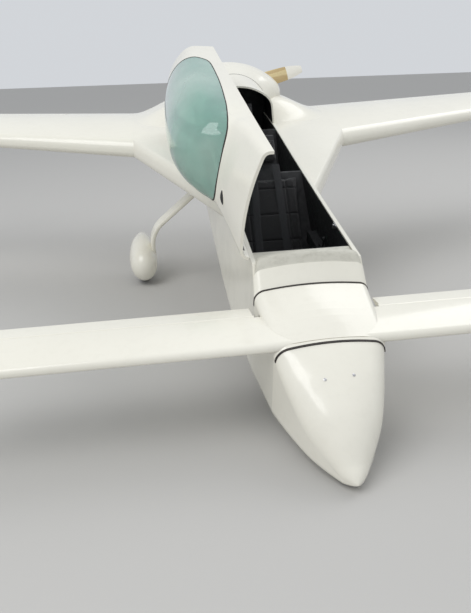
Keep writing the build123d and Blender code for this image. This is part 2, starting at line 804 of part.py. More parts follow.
def wheel_pant(leg):
    """Teardrop turned about its long axis, narrowed to its width and cut out for the wheel."""
    share = PANT_HALF_HEIGHT / PANT_LENGTH
    lead = WHEEL_Y - PANT_NOSE * PANT_LENGTH
    upper = airfoil_runs(0, PANT_LENGTH, 0, share, share)[:2]
    edge = EDGE_HALF * PANT_LENGTH
    profile = face_on(fore_aft(0), upper + [("line", (PANT_LENGTH, edge), (PANT_LENGTH, 0)), ("line", (PANT_LENGTH, 0), (0, 0))])
    body = revolve(profile, Axis((0, 0, 0), (0, 1, 0)))
    body = scale(body, by=(PANT_HALF_WIDTH / PANT_HALF_HEIGHT, 1, 1))
    body = Pos(WHEEL_X, lead, WHEEL_Z + PANT_LIFT) * body
    half = TYRE_WIDTH / 2 + WHEEL_CLEAR
    well = rod((WHEEL_X - half, WHEEL_Y, WHEEL_Z), (WHEEL_X + half, WHEEL_Y, WHEEL_Z), TYRE_R + WHEEL_CLEAR)
    mouth = box_between((WHEEL_X - half, WHEEL_Y - TYRE_R - WHEEL_CLEAR, WHEEL_Z - 300),
                        (WHEEL_X + half, WHEEL_Y + TYRE_R + WHEEL_CLEAR, WHEEL_Z))
    axle = rod((WHEEL_X - 110, WHEEL_Y, WHEEL_Z), (WHEEL_X + 60, WHEEL_Y, WHEEL_Z), AXLE_R)
    return body - well - mouth - leg - axle


def nose_strut():
    """Folded strut with its cross pin, fork and axle."""
    pivot = (0, *NOSE_PIVOT)
    crown_y = NOSE_WHEEL_Y - NOSE_TYRE_R - 34
    crown_z = 24
    strut = rod(pivot, (0, crown_y, crown_z), 17)
    reach = WELL_HALF_WIDTH - WELL_WALL - SEAT_GAP
    strut += rod((-reach, *NOSE_PIVOT), (reach, *NOSE_PIVOT), 12)
    side = NOSE_TYRE_WIDTH / 2 + FORK_CLEAR
    outer = side + FORK_WALL
    strut += box_between((-outer, crown_y - 14, crown_z - 18), (outer, crown_y + 12, crown_z + 18))
    for way in (PORT, STARBOARD):
        blade = rounded_face(fore_aft(way * side), [
            (crown_y - 14, crown_z + 18, 4), (crown_y - 14, crown_z - 18, 4),
            (NOSE_WHEEL_Y + 16, NOSE_WHEEL_Z - 18, 14), (NOSE_WHEEL_Y + 16, NOSE_WHEEL_Z + 18, 14)])
        strut += extrude(blade, amount=FORK_WALL, dir=(way, 0, 0))
    axle = rod((-outer, NOSE_WHEEL_Y, NOSE_WHEEL_Z), (outer, NOSE_WHEEL_Y, NOSE_WHEEL_Z), AXLE_R)
    return strut + axle


def nose_bumper(nose):
    pad = rod((-BUMPER_HALF_WIDTH, BUMPER_Y, BUMPER_Z), (BUMPER_HALF_WIDTH, BUMPER_Y, BUMPER_Z), BUMPER_R)
    return pad - nose


# Power

def engine_block():
    crankcase = box_between((-150, 3222, 420), (150, ENGINE_REAR, 650))
    cylinders = box_between((-372, 3360, 460), (372, 3530, 620))
    bearing = rod((0, ENGINE_REAR - 62, PROP_Z), (0, ENGINE_REAR, PROP_Z), SHAFT_R + RUNNING)
    return crankcase + cylinders - bearing


def engine_mount():
    return [rod((x, FIREWALL, z), (x, 3222, z), 12) for x in (-120, 120) for z in (450, 620)]


def exhaust_pipes(grow=0):
    pipes = []
    for way in (PORT, STARBOARD):
        bend = (way * 215, 3500, 330)
        pipe = rod((way * 215, 3500, 460), bend, 24 + grow) + rod(bend, (way * 206, EXHAUST_END, 284), 24 + grow)
        pipes.append(pipe + Pos(*bend) * Sphere(24 + grow))
    return pipes


def blade_section(radius, chord, thick):
    pitch = math.atan2(PROP_PITCH, 2 * math.pi * radius)
    plane = Plane(origin=(radius, PROP_Y, PROP_Z), x_dir=(0, math.sin(pitch), math.cos(pitch)), z_dir=(1, 0, 0))
    half = chord / 2
    runs = [("arc", (-half, 0), (0, thick), (half, 0)), ("arc", (half, 0), (0, -thick * 0.25), (-half, 0))]
    return face_on(plane, runs)


def propeller():
    blade = loft([blade_section(share * PROP_R, chord, thick) for share, chord, thick in BLADE_TABLE])
    hub = rod((0, PROP_Y - 26, PROP_Z), (0, PROP_Y + 40, PROP_Z), 72)
    other = blade.rotate(Axis((0, PROP_Y, PROP_Z), (0, 1, 0)), 180)
    return hub + blade + other


def spinner(prop):
    start = PROP_Y - 30
    outer = [("line", (0, 0), (0, SPINNER_R)), ("arc", (0, SPINNER_R), (SPINNER_LENGTH * 0.6, SPINNER_R * 0.74), (SPINNER_LENGTH, 0)),
             ("line", (SPINNER_LENGTH, 0), (0, 0))]
    plane = Plane(origin=(0, start, PROP_Z), x_dir=(0, 1, 0), z_dir=(1, 0, 0))
    solid = revolve(face_on(plane, outer), Axis((0, 0, PROP_Z), (0, 1, 0)))
    hollow = rod((0, start + 3, PROP_Z), (0, PROP_Y + 60, PROP_Z), SPINNER_R - 24)
    return solid - hollow - prop


def tie_down_eye(wing):
    lead, chord, height = wing_at(TIE_X)
    z = height - WING_LOWER * chord - EYE_R - 14
    plate = rod((TIE_X - EYE_THICK / 2, TIE_Y, z), (TIE_X + EYE_THICK / 2, TIE_Y, z), EYE_OUTER_R)
    plate += box_between((TIE_X - EYE_THICK / 2, TIE_Y - EYE_OUTER_R, z), (TIE_X + EYE_THICK / 2, TIE_Y + EYE_OUTER_R, z + 60))
    hole = rod((TIE_X - EYE_THICK, TIE_Y, z), (TIE_X + EYE_THICK, TIE_Y, z), EYE_R)
    return plate - hole - wing, (TIE_X, TIE_Y, z)


# Places worked out from the sizes above
WINGLET_X = HALF_SPAN - WINGLET_HALF_THICKNESS * TIP_CHORD
ELEVATOR_Y = CANARD_LEAD + ELEVATOR_PLACE * CANARD_CHORD


def parked_angle():
    """Nose-down angle at which the bumper and the main tyres stand on one floor."""
    dy = WHEEL_Y - BUMPER_Y
    dz = WHEEL_Z - BUMPER_Z
    return math.degrees(math.asin((TYRE_R - BUMPER_R) / math.hypot(dy, dz)) - math.atan2(dz, dy))


def build():
    nodes = {}
    nose = nose_outer()
    canard, elevators, tube = canard_and_elevators()
    front_tub, rear_tub = hull_tub()
    leg = gear_leg()
    cowl_outer, cowl_top, cowl_bottom = cowling()
    elevator_z = elevator_hinge()[0]
    clear = TORQUE_TUBE_R + CONTROL_GAP
    tube_slot = box_between((-400, ELEVATOR_Y - 30, elevator_z - clear), (400, ELEVATOR_Y + clear, elevator_z + 100))

    nodes["nose_shell"] = nose_shell(nose, canard)
    tube_notch = box_between((-400, ELEVATOR_Y - 30, elevator_z - clear), (400, ELEVATOR_Y + clear, elevator_z + clear + 3))
    nodes["canard_cover"] = arched_panel(COVER_TABLE, DECK_WALL) - canard - tube_notch
    nodes["forward_deck"] = arched_panel(DECK_TABLE, DECK_WALL)
    nodes["sill_ledge"] = sill_ledge()

    floor_half = 175
    port_zone = box_between((floor_half, 400, -200), (500, 3300, 700))
    floor_zone = box_between((-floor_half, 400, -200), (floor_half, 3300, 300))
    well_slot = box_between((-WELL_HALF_WIDTH, WELL_FRONT, -200), (WELL_HALF_WIDTH, WELL_REAR, 100))
    port_side = (front_tub & port_zone) + (rear_tub & port_zone) - canard - tube_slot - leg
    nodes["fuselage_side_left"] = port_side
    nodes["fuselage_side_right"] = mirrored(port_side)
    nodes["fuselage_floor"] = (front_tub & floor_zone) + (rear_tub & floor_zone) - well_slot
    nodes["turtledeck"] = arched_panel(TURTLEDECK_TABLE, DECK_WALL)
    nodes["firewall"] = extrude(closed_section(*COWL_TABLE[0]), amount=FIREWALL - 3165, dir=(0, -1, 0))
    exhaust_holes = exhaust_pipes(grow=6)
    shaft_hole = rod((0, 3700, PROP_Z), (0, PROP_Y, PROP_Z), SHAFT_R + CONTROL_GAP)
    nodes["cowling_top"] = cowl_top - shaft_hole
    nodes["cowling_bottom"] = cowl_bottom - exhaust_holes[0] - exhaust_holes[1] - shaft_hole
    nodes["engine_block"] = engine_block()
    nodes["engine_mount"] = engine_mount()
    nodes["exhaust_pipes"] = exhaust_pipes()

    hull = tub_core() + nodes["firewall"] + cowl_outer
    port_strake = strake(hull)
    winglet, rudder = winglet_and_rudder()
    wing, aileron = wing_and_aileron(winglet)
    eye, eye_place = tie_down_eye(wing)
    for name, shape in (("strake", port_strake), ("wing", wing), ("aileron", aileron), ("winglet", winglet), ("rudder", rudder)):
        nodes[f"{name}_left"] = shape
        nodes[f"{name}_right"] = mirrored(shape)
    nodes["tie_down_eyes"] = [eye, mirrored(eye)]
    nodes["canard"] = canard
    nodes["elevator_left"], nodes["elevator_right"] = elevators
    nodes["elevator_torque_tube"] = tube

    frame, glass = canopy_parts()
    fixed_leaves, moving_leaves = hinge_leaves(mirrored(port_side), frame)
    nodes["hull_hinge_leaves"] = fixed_leaves
    nodes["canopy_frame"] = opened(frame)
    nodes["canopy_glass"] = opened(glass)
    nodes["canopy_hinge_leaves"] = [opened(leaf) for leaf in moving_leaves]

    front_foot, front_head = (1430, -28), (1965, SEAT_TOP)
    rear_foot, rear_head = (2330, -28), (2760, SEAT_TOP)
    nodes["instrument_panel"] = instrument_panel()
    nodes["front_seat_back"] = seat_back(front_foot, front_head, 730)
    nodes["rear_seat_back"] = seat_back(rear_foot, rear_head, 710)
    for name, foot, head, pan_length in (("front", front_foot, front_head, 220), ("rear", rear_foot, rear_head, 240)):
        back, pan = seat_pads(foot, head, SEAT_WIDTH_HALF, pan_length)
        nodes[f"{name}_back_cushion"] = back
        nodes[f"{name}_pan_cushion"] = pan - rear_tub
    nodes["headrests"] = [headrest(front_foot, front_head, 612, 722, 85), headrest(rear_foot, rear_head, 600, 700, 85)]
    nodes["side_consoles"] = side_consoles()
    nodes["hand_controls"] = hand_controls()

    nodes["nose_gear_well"] = nose_gear_well()
    nodes["nose_strut"] = nose_strut()
    nose_tyre, nose_hub = wheel(0, NOSE_WHEEL_Y, NOSE_WHEEL_Z, NOSE_TYRE_R, NOSE_TYRE_WIDTH, NOSE_RIM_R, AXLE_R + RUNNING, 22)
    nodes["nose_tyre"] = nose_tyre
    nodes["nose_hub"] = nose_hub
    nodes["nose_bumper"] = nose_bumper(nose)
    nodes["main_gear_bow"] = leg
    pant = wheel_pant(leg)
    tyre, hub = wheel(WHEEL_X, WHEEL_Y, WHEEL_Z, TYRE_R, TYRE_WIDTH, RIM_R, AXLE_R + RUNNING, 30)
    axle = rod((LEG_FOOT_X + 9, WHEEL_Y, WHEEL_Z), (WHEEL_X + 44, WHEEL_Y, WHEEL_Z), AXLE_R) - leg
    for name, shape in (("wheel_pant", pant), ("tyre", tyre), ("hub", hub)):
        nodes[f"{name}_left"] = shape
        nodes[f"{name}_right"] = mirrored(shape)
    nodes["main_axles"] = [axle, mirrored(axle)]

    shaft = rod((0, ENGINE_REAR - 60, PROP_Z), (0, PROP_Y - 26, PROP_Z), SHAFT_R)
    prop = propeller().rotate(Axis((0, PROP_Y, PROP_Z), (0, 1, 0)), -PROP_REST)
    nodes["propeller"] = prop
    nodes["spinner"] = spinner(prop) - shaft
    nodes["propeller_shaft"] = shaft
    return nodes, eye_place


def one_shape(piece):
    if isinstance(piece, (list, tuple)):
        solids = [solid for item in piece for solid in item.solids()]
    else:
        solids = piece.solids()
    return solids[0] if len(solids) == 1 else Compound(solids)


def parked(shapes):
    """Location that stands the level model on its bumper and tyres, centred over its own box."""
    angle = parked_angle()
    box = Compound([shape.moved(Rot(angle, 0, 0)) for shape in shapes]).bounding_box()
    middle = (box.min.Y + box.max.Y) / 2
    return Pos(0, -middle, -box.min.Z) * Rot(angle, 0, 0)


def main():
    os.makedirs("parts", exist_ok=True)
    nodes, eye_place = build()
    shapes = {name: one_shape(piece) for name, piece in nodes.items()}
    place = parked(list(shapes.values()))
    for name, shape in shapes.items():
        export_step(shape.moved(place), f"parts/{name}.step")
    return shapes, place, eye_place


main()
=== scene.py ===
"""Looks of the parked two-seat canard pusher: camera, light, finishes and the pieces worked out here.

Places are in the aircraft's own level axes, in millimetres: x to port, y (the station) aft, z up. Each
piece is turned into the parked attitude, in metres, as its mesh is made.
"""
import json
import math

import bmesh
import bpy
import numpy as np
from mathutils import Matrix, Vector


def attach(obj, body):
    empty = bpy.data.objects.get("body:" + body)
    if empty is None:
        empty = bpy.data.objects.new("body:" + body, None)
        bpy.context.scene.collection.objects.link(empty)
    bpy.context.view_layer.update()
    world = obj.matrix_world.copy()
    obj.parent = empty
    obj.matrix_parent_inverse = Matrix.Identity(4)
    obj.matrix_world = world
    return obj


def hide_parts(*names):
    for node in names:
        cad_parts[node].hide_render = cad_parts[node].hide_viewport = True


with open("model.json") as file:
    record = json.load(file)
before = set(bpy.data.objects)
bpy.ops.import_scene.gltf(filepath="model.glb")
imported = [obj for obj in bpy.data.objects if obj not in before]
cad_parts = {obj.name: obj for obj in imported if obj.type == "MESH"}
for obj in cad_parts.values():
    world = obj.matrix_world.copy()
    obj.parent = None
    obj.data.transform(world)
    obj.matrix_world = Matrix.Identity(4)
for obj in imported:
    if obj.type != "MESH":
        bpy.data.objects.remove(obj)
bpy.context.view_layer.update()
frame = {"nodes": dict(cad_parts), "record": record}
nodes = frame["nodes"]

SIDES = ((1, "port", "left"), (-1, "starboard", "right"))
FORE_AND_AFT = (0, 1, 0)
PARKED_ANGLE = math.radians(13.2017896)
PARKED_SHIFT = np.array([0.0, -1.963034, 0.000275])
OPEN_ANGLE = math.radians(79)
HINGE = np.array([-284.0, 0.0, 562.0])


def turned(direction):
    """A direction in the level axes as one in the parked axes: a turn about X by the parked angle."""
    c, s = math.cos(PARKED_ANGLE), math.sin(PARKED_ANGLE)
    x, y, z = np.moveaxis(np.asarray(direction, float), -1, 0)
    return np.stack([x, y * c - z * s, y * s + z * c], -1)


def parked(points):
    """Level millimetres to parked metres: the turn, then the shift."""
    return turned(np.asarray(points, float) / 1000) + PARKED_SHIFT


def opened(points):
    """Turn about the canopy's hinge line by the open angle, towards starboard, then park."""
    x, y, z = np.moveaxis(np.asarray(points, float) - HINGE, -1, 0)
    c, s = math.cos(OPEN_ANGLE), math.sin(OPEN_ANGLE)
    return parked(np.stack([x * c - z * s, y, x * s + z * c], -1) + HINGE)


# Hull sections. Canopy, deck and turtledeck rows: station, half-width at the foot, foot, half-width at
# the spring, spring, crown, shoulder radius.
CANOPY_ROWS = [
    (895, 266, 565, 263, 580, 636, 42), (1150, 264, 565, 258, 592, 664, 55),
    (1330, 264, 565, 250, 612, 693, 72), (1400, 264, 565, 238, 630, 778, 105),
    (1480, 264, 565, 230, 665, 858, 146), (1580, 265, 565, 238, 700, 898, 152),
    (1700, 265, 565, 246, 722, 914, 153), (1850, 266, 565, 250, 730, 918, 155),
    (2300, 268, 565, 252, 710, 898, 145), (2880, 272, 565, 257, 680, 836, 125),
]
DECK_ROWS = [
    (776, 276, 434, 275, 441, 502, 52), (842, 270, 506, 268, 517, 574, 46),
    (889, 266, 560, 263, 574, 626, 40), (906, 266, 560, 263, 574, 628, 40),
]
TURTLE_ROWS = [(2886, 272, 560, 257, 680, 836, 125), (3165, 266, 560, 262, 640, 850, 130)]
# Tub rows: station, lower half-width, half-width at the rail, floor, rail, corner radius
TUB_ROWS = [
    (889, 290, 266, -42, 559, 70), (1397, 305, 264, -50, 559, 70), (2159, 288, 268, -50, 559, 70),
    (2845, 270, 276, -15, 559, 70), (3165, 267, 266, 40, 559, 70),
]
# Nose rows: station, lower half-width, half-width at the foot, floor, foot, half-width at the spring,
# spring, crown, corner radius, shoulder radius; then which of them make the arch and the tub below it
NOSE_ROWS = [
    (0, 54, 54, 20, 64, 54, 64, 127, 30, 50), (76, 107, 109, 6, 110, 109, 110, 218, 50, 96),
    (160, 152, 161, -2, 158, 161, 158, 290, 60, 118), (280, 196, 206, -12, 232, 206, 232, 358, 66, 112),
    (380, 226, 234, -21, 292, 234, 292, 402, 69, 94), (445, 244, 250, -25, 352, 250, 352, 426, 70, 58),
]
NOSE_ARCH, NOSE_TUB = [1, 3, 4, 5, 6, 8], [0, 1, 2, 3, 7]
# Window outline on the canopy: station and share of the way from crown to foot, front to rear
WINDOW_EDGE = np.array([
    (1329, 0), (1331, .13), (1335, .24), (1341, .36), (1350, .47), (1371, .585), (1415, .675),
    (1452, .718), (1500, .752), (1575, .783), (1690, .806), (1870, .83), (2085, .844), (2250, .845),
    (2390, .84), (2480, .81), (2545, .71), (2592, .58), (2636, .45), (2655, .3), (2660, 0)])


def smooth_rows(table, stations):
    """Table values between stations on a cubic whose slopes are the harmonic means of the neighbours."""
    table = np.asarray(table, float)
    known, values = table[:, 0], table[:, 1:]
    gap = np.diff(known)[:, None]
    rise = np.diff(values, axis=0) / gap
    slope = np.concatenate([rise[:1], np.zeros_like(rise[1:]), rise[-1:]])
    before, after = rise[:-1], rise[1:]
    both = np.where(before * after > 0, before + after, 1)
    slope[1:-1] = np.where(before * after > 0, 2 * before * after / both, 0)
    y = np.asarray(stations, float)
    i = np.clip(np.searchsorted(known, y, side="right") - 1, 0, len(known) - 2)
    g = gap[i, 0][..., None]
    t = (y - known[i])[..., None] / g
    return ((2 * t**3 - 3 * t**2 + 1) * values[i] + (t**3 - 2 * t**2 + t) * slope[i] * g
            + (3 * t**2 - 2 * t**3) * values[i + 1] + (t**3 - t**2) * slope[i + 1] * g)


def arch(rows, share, inset=0.0):
    """Across and up on an arch at a share from foot (-1 starboard, 1 port) to crown (0).

    Along each half runs a leaning side, then a shoulder arc, then a crown arc centred on x = 0, each
    tangent to the last; the point is moved inwards along the section's normal by the inset.
    """
    half, foot, top, spring, crown, shoulder = np.moveaxis(rows, -1, 0)
    tilt = np.where(spring > foot, np.arctan2(half - top, np.maximum(spring - foot, 1e-9)), 0)
    out, up = top - shoulder * np.cos(tilt), spring - shoulder * np.sin(tilt)
    rise = crown - up
    radius = (out**2 + rise**2 - shoulder**2) / (2 * (rise - shoulder))
    centre = crown - radius
    lean = np.arctan2(up - centre, out)
    side = np.hypot(half - top, spring - foot)
    bend = shoulder * (lean - tilt)
    way = (1 - np.abs(share)) * (side + bend + radius * (math.pi / 2 - lean))
    runs = [way < side, way < side + bend]
    angle = np.select(runs, [tilt, tilt + (way - side) / shoulder], lean + (way - side - bend) / radius)
    c, s = np.cos(angle), np.sin(angle)
    x = np.select(runs, [half - np.sin(tilt) * way, out + shoulder * c], radius * c)
    z = np.select(runs, [foot + np.cos(tilt) * way, up + shoulder * s], centre + radius * s)
    return np.where(share < 0, -1, 1) * (x - inset * c), z - inset * s


def arch_points(table, y, share, inset=0.0):
    """Points over an arched cover at stations y, as arch() of the table's smoothed rows."""
    x, z = arch(smooth_rows(table, y), share, inset)
    return np.stack([x, y + 0 * x, z], -1)


def tub_path(low, half, floor, foot, corner, share, stop=0.0):
    """Across and up from the foot (0) down the leaning side, round the corner arc, in to x = stop (1)."""
    down = np.stack([low - half, floor - foot], -1)
    length = np.hypot(down[..., 0], down[..., 1])
    down = down / length[..., None]
    turn = np.arccos(-down[..., 0])
    reach = corner * np.tan(turn / 2)
    side, bend = length - reach, corner * turn
    way = share * (side + bend + low - reach - stop)
    angle = (turn - math.pi / 2) - np.clip(way - side, 0, bend) / corner
    runs = [way < side, way < side + bend]
    x = np.select(runs, [half + down[..., 0] * way, low - reach + corner * np.cos(angle)],
                  low - reach - (way - side - bend))
    z = np.select(runs, [foot + down[..., 1] * way, floor + corner + corner * np.sin(angle)], floor)
    return x, z


# Mesh making

MERGE, SLIVER = 2e-6, 1e-7


def grid_index(rows, cols, wrap=False):
    """Numbers of a grid's points, its first column repeated at the end where it wraps."""
    index = np.arange(rows * cols).reshape(rows, cols)
    return np.concatenate([index, index[:, :1]], 1) if wrap else index


def quads_of(index):
    """One quad for each cell of a grid of point numbers."""
    return np.stack([index[:-1, :-1], index[:-1, 1:], index[1:, 1:], index[1:, :-1]], -1).reshape(-1, 4)


def shell(outer, inner, wrap=False):
    """Closed wall between two like grids of points: both faces and a strip along each open edge."""
    index = grid_index(*outer.shape[:2], wrap)
    far = outer.shape[0] * outer.shape[1]
    quads = quads_of(index)
    faces = [quads, quads[:, ::-1] + far]
    for edge in [index[0], index[-1]] + ([] if wrap else [index[:, 0], index[:, -1]]):
        faces.append(np.stack([edge[:-1], edge[1:], edge[1:] + far, edge[:-1] + far], -1))
    return np.concatenate([np.reshape(outer, (-1, 3)), np.reshape(inner, (-1, 3))]), np.concatenate(faces)


def skin(grid):
    """Closed surface from a grid that wraps the second way, its first and last rows drawn to a point."""
    first, last = (np.broadcast_to(grid[i].mean(0), grid[i].shape)[None] for i in (0, -1))
    grid = np.concatenate([first, grid, last])
    return grid.reshape(-1, 3), quads_of(grid_index(*grid.shape[:2], True))


def ring(grid):
    """Closed surface from a grid that wraps both ways."""
    index = grid_index(*grid.shape[:2], True)
    return grid.reshape(-1, 3), quads_of(np.concatenate([index, index[:1]]))


def joined(parts):
    """Several (points, faces) as one."""
    points, faces, count = [], [], 0
    for p, f in parts:
        points.append(np.reshape(p, (-1, 3)))
        faces.append(f + count)
        count += len(points[-1])
    return np.concatenate(points), np.concatenate(faces)


def make(name, shape, finish, body="airframe", place=parked, stands_for=(), sharp=38.0):
    """A finished piece from points and quads: merged, its normals outward, smooth but for sharp edges."""
    points, faces = shape
    mesh = bpy.data.meshes.new(name)
    co = place(points)
    mesh.vertices.add(len(co))
    mesh.vertices.foreach_set("co", co.ravel())
    mesh.loops.add(faces.size)
    mesh.loops.foreach_set("vertex_index", np.ascontiguousarray(faces).ravel())
    mesh.polygons.add(len(faces))
    mesh.polygons.foreach_set("loop_start", np.arange(0, faces.size, 4))
    mesh.update(calc_edges=True)
    work = bmesh.new()
    work.from_mesh(mesh)
    bmesh.ops.remove_doubles(work, verts=work.verts, dist=MERGE)
    bmesh.ops.dissolve_degenerate(work, edges=work.edges, dist=SLIVER)
    bmesh.ops.recalc_face_normals(work, faces=work.faces)
    work.to_mesh(mesh)
    work.free()
    mesh.shade_smooth()
    mesh.set_sharp_from_angle(angle=math.radians(sharp))
    mesh.materials.append(FINISHES[finish])
    made = bpy.data.objects.new(name, mesh)
    bpy.context.scene.collection.objects.link(made)
    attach(made, body)
    if stands_for:
        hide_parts(*stands_for)


def on_canopy(name, shape, finish, stands_for=()):
    """A piece that is worked out on the closed canopy and opened with it."""
    make(name, shape, finish, "canopy", opened, stands_for)


def lathe(profile, centre, axis, steps=64):
    """A profile of (along the axis, radius) turned about the axis through the centre."""
    axis = np.asarray(axis, float) / np.linalg.norm(axis)
    first = np.cross(axis, (0.0, 0.0, 1.0) if abs(axis[2]) < 0.9 else (1.0, 0.0, 0.0))
    first /= np.linalg.norm(first)
    second = np.cross(axis, first)
    profile = np.asarray(profile, float)[..., None, None]
    angle = np.linspace(0, 2 * math.pi, steps, endpoint=False)[:, None]
    round_axis = np.cos(angle) * first + np.sin(angle) * second
    return skin(np.asarray(centre, float) + profile[:, 0] * axis + profile[:, 1] * round_axis)


def tube(path, radius, steps):
    """A round section of one radius for each point, carried along a path."""
    path = np.asarray(path, float)
    along = np.gradient(path, axis=0)
    along /= np.linalg.norm(along, axis=1)[:, None]
    side = np.cross(along, (0.0, 0.0, 1.0))
    side /= np.linalg.norm(side, axis=1)[:, None]
    top = np.cross(side, along)
    angle = np.linspace(0, 2 * math.pi, steps, endpoint=False)[:, None]
    section = np.cos(angle) * side[:, None] + np.sin(angle) * top[:, None]
    return skin(path[:, None] + np.reshape(radius, (-1, 1, 1)) * section)


def block(centre, half, power=0.25, axes=np.eye(3), rows=14, cols=40):
    """Rounded block: a superellipsoid, each cosine and sine raised to the power with its sign kept."""
    up = np.linspace(-math.pi / 2, math.pi / 2, rows + 2)[1:-1, None]
    turn = np.linspace(0, 2 * math.pi, cols, endpoint=False)[None]

    def bent(value):
        return np.sign(value) * np.abs(value) ** power

    local = np.stack([bent(np.cos(up)) * bent(np.cos(turn)), bent(np.cos(up)) * bent(np.sin(turn)),
                      bent(np.sin(up)) * np.ones_like(turn)], -1) * np.asarray(half, float)
    return skin(np.asarray(centre, float) + local @ np.asarray(axes, float))


# Camera, from the calibrated photograph: angles in radians, place in metres

CAMERA_YAW, CAMERA_PITCH, CAMERA_ROLL = 0.147, 0.376, -0.032
CAMERA_PLACE = (-0.755, -3.949, 1.629)
FOCAL_PIXELS, PHOTO_HEIGHT, SENSOR, CLIP_END = 617, 613, 36, 200


def aim_camera():
    """Camera whose forward is (sin yaw cos pitch, cos yaw cos pitch, -sin pitch), rolled about it."""
    yaw, pitch, roll = CAMERA_YAW, CAMERA_PITCH, CAMERA_ROLL
    right = np.array([math.cos(yaw), -math.sin(yaw), 0])
    ahead = np.array([math.sin(yaw) * math.cos(pitch), math.cos(yaw) * math.cos(pitch), -math.sin(pitch)])
    above = np.cross(right, ahead)
    across = right * math.cos(roll) + above * math.sin(roll)
    upward = above * math.cos(roll) - right * math.sin(roll)
    data = bpy.data.cameras.new("camera")
    data.lens, data.sensor_width, data.clip_end = FOCAL_PIXELS / PHOTO_HEIGHT * SENSOR, SENSOR, CLIP_END
    camera = bpy.data.objects.new("camera", data)
    turn = Matrix(np.stack([across, upward, -ahead], 1).tolist()).to_4x4()
    camera.matrix_world = Matrix.Translation(CAMERA_PLACE) @ turn
    bpy.context.scene.collection.objects.link(camera)
    bpy.context.scene.camera = camera


# Finishes

class Finish:
    """A shader on Object coordinates, with short names for the patterns that vary it."""

    def __init__(self, name, colour, rough, metal=0.0, **sockets):
        self.material = bpy.data.materials.new(name)
        self.material.use_nodes = True
        self.tree = self.material.node_tree
        self.shader = self.tree.nodes["Principled BSDF"]
        self.shader.inputs["Base Color"].default_value = (*colour, 1)
        self.shader.inputs["Roughness"].default_value = rough
        self.shader.inputs["Metallic"].default_value = metal
        for socket, value in sockets.items():
            self.shader.inputs[socket.replace("_", " ")].default_value = value
        self.place = self.node("ShaderNodeTexCoord").outputs["Object"]

    def node(self, kind, **inputs):
        made = self.tree.nodes.new(kind)
        for name, value in inputs.items():
            self.feed(made.inputs[name.replace("_", " ")], value)
        return made

    def feed(self, socket, value):
        """Link a socket's value, or set a plain one."""
        if isinstance(value, bpy.types.NodeSocket):
            self.tree.links.new(value, socket)
        else:
            socket.default_value = value

    def mapped(self, stretch, turn=(0, 0, 0)):
        return self.node("ShaderNodeMapping", Vector=self.place, Scale=stretch, Rotation=turn).outputs[0]

    def noise(self, scale, detail=3.0, rough=0.5, stretch=(1, 1, 1)):
        made = self.node("ShaderNodeTexNoise", Vector=self.mapped(stretch), Scale=scale, Detail=detail,
                         Roughness=rough)
        return made.outputs["Fac"]

    def waves(self, scale, direction, distortion=0.0, turn=(0, 0, 0)):
        vector = self.mapped((1, 1, 1), turn)
        made = self.node("ShaderNodeTexWave", Vector=vector, Scale=scale, Distortion=distortion)
        made.bands_direction = direction
        return made.outputs["Fac"]

    def spread(self, value, low, high, out_low=0.0, out_high=1.0):
        """The range from low to high stretched to the one from out_low to out_high, held at its ends."""
        made = self.node("ShaderNodeMapRange", Value=value, From_Min=low, From_Max=high, To_Min=out_low,
                         To_Max=out_high)
        return made.outputs[0]

    def maths(self, operation, a, b=0.0):
        made = self.tree.nodes.new("ShaderNodeMath")
        made.operation = operation
        self.feed(made.inputs[0], a)
        self.feed(made.inputs[1], b)
        return made.outputs[0]

    def blend(self, amount, first, second):
        made = self.tree.nodes.new("ShaderNodeMix")
        made.data_type = "RGBA"
        self.feed(made.inputs["Factor"], amount)
        for socket, value in ((made.inputs[6], first), (made.inputs[7], second)):
            self.feed(socket, (*value, 1) if isinstance(value, tuple) else value)
        return made.outputs[2]

    def colour(self, value):
        self.feed(self.shader.inputs["Base Color"], value)

    def roughness(self, value):
        self.feed(self.shader.inputs["Roughness"], value)

    def bump(self, height, depth, under=None):
        """Raised pattern on top of the one under it; returns the normal for the next."""
        made = self.node("ShaderNodeBump", Height=height, Distance=depth)
        if under:
            self.feed(made.inputs["Normal"], under)
        self.feed(self.shader.inputs["Normal"], made.outputs[0])
        return made.outputs[0]


def hull_paint(name="hull_paint", pale=(0.84, 0.815, 0.72), dim=(0.80, 0.775, 0.68), rough=0.2):
    """Hand-finished gloss enamel: slow tone drift, thin patches of dust, shallow filler waves."""
    f = Finish(name, pale, rough, Coat_Weight=0.35, Coat_Roughness=0.06)
    drift = f.spread(f.noise(1.1, 4, 0.55), 0.35, 0.7)
    dust = f.spread(f.noise(26, 4, 0.6), 0.5, 0.8, 0, 0.12)
    f.colour(f.blend(dust, f.blend(drift, pale, dim), (0.62, 0.59, 0.50)))
    f.roughness(f.spread(f.noise(5, 2, 0.5), 0.35, 0.65, rough, rough + 0.06))
    waves = f.bump(f.noise(4, 1, 0.3), 0.0005)
    f.bump(f.noise(650, 1, 0.4), 0.00002, waves)
    return f.material


def tinted_acrylic():
    """Milky green-grey acrylic: part clear, part hazed, paler in slow cloudy patches."""
    f = Finish("tinted_acrylic", (0.36, 0.58, 0.50), 0.04, IOR=1.3, Transmission_Weight=0.42,
               Coat_Weight=0.6, Coat_Roughness=0.03)
    cloud = f.spread(f.noise(2.2, 3, 0.5), 0.38, 0.66)
    f.colour(f.blend(cloud, (0.30, 0.53, 0.45), (0.47, 0.66, 0.58)))
    f.roughness(f.spread(f.noise(9, 6, 0.7), 0.45, 0.8, 0.03, 0.12))
    return f.material


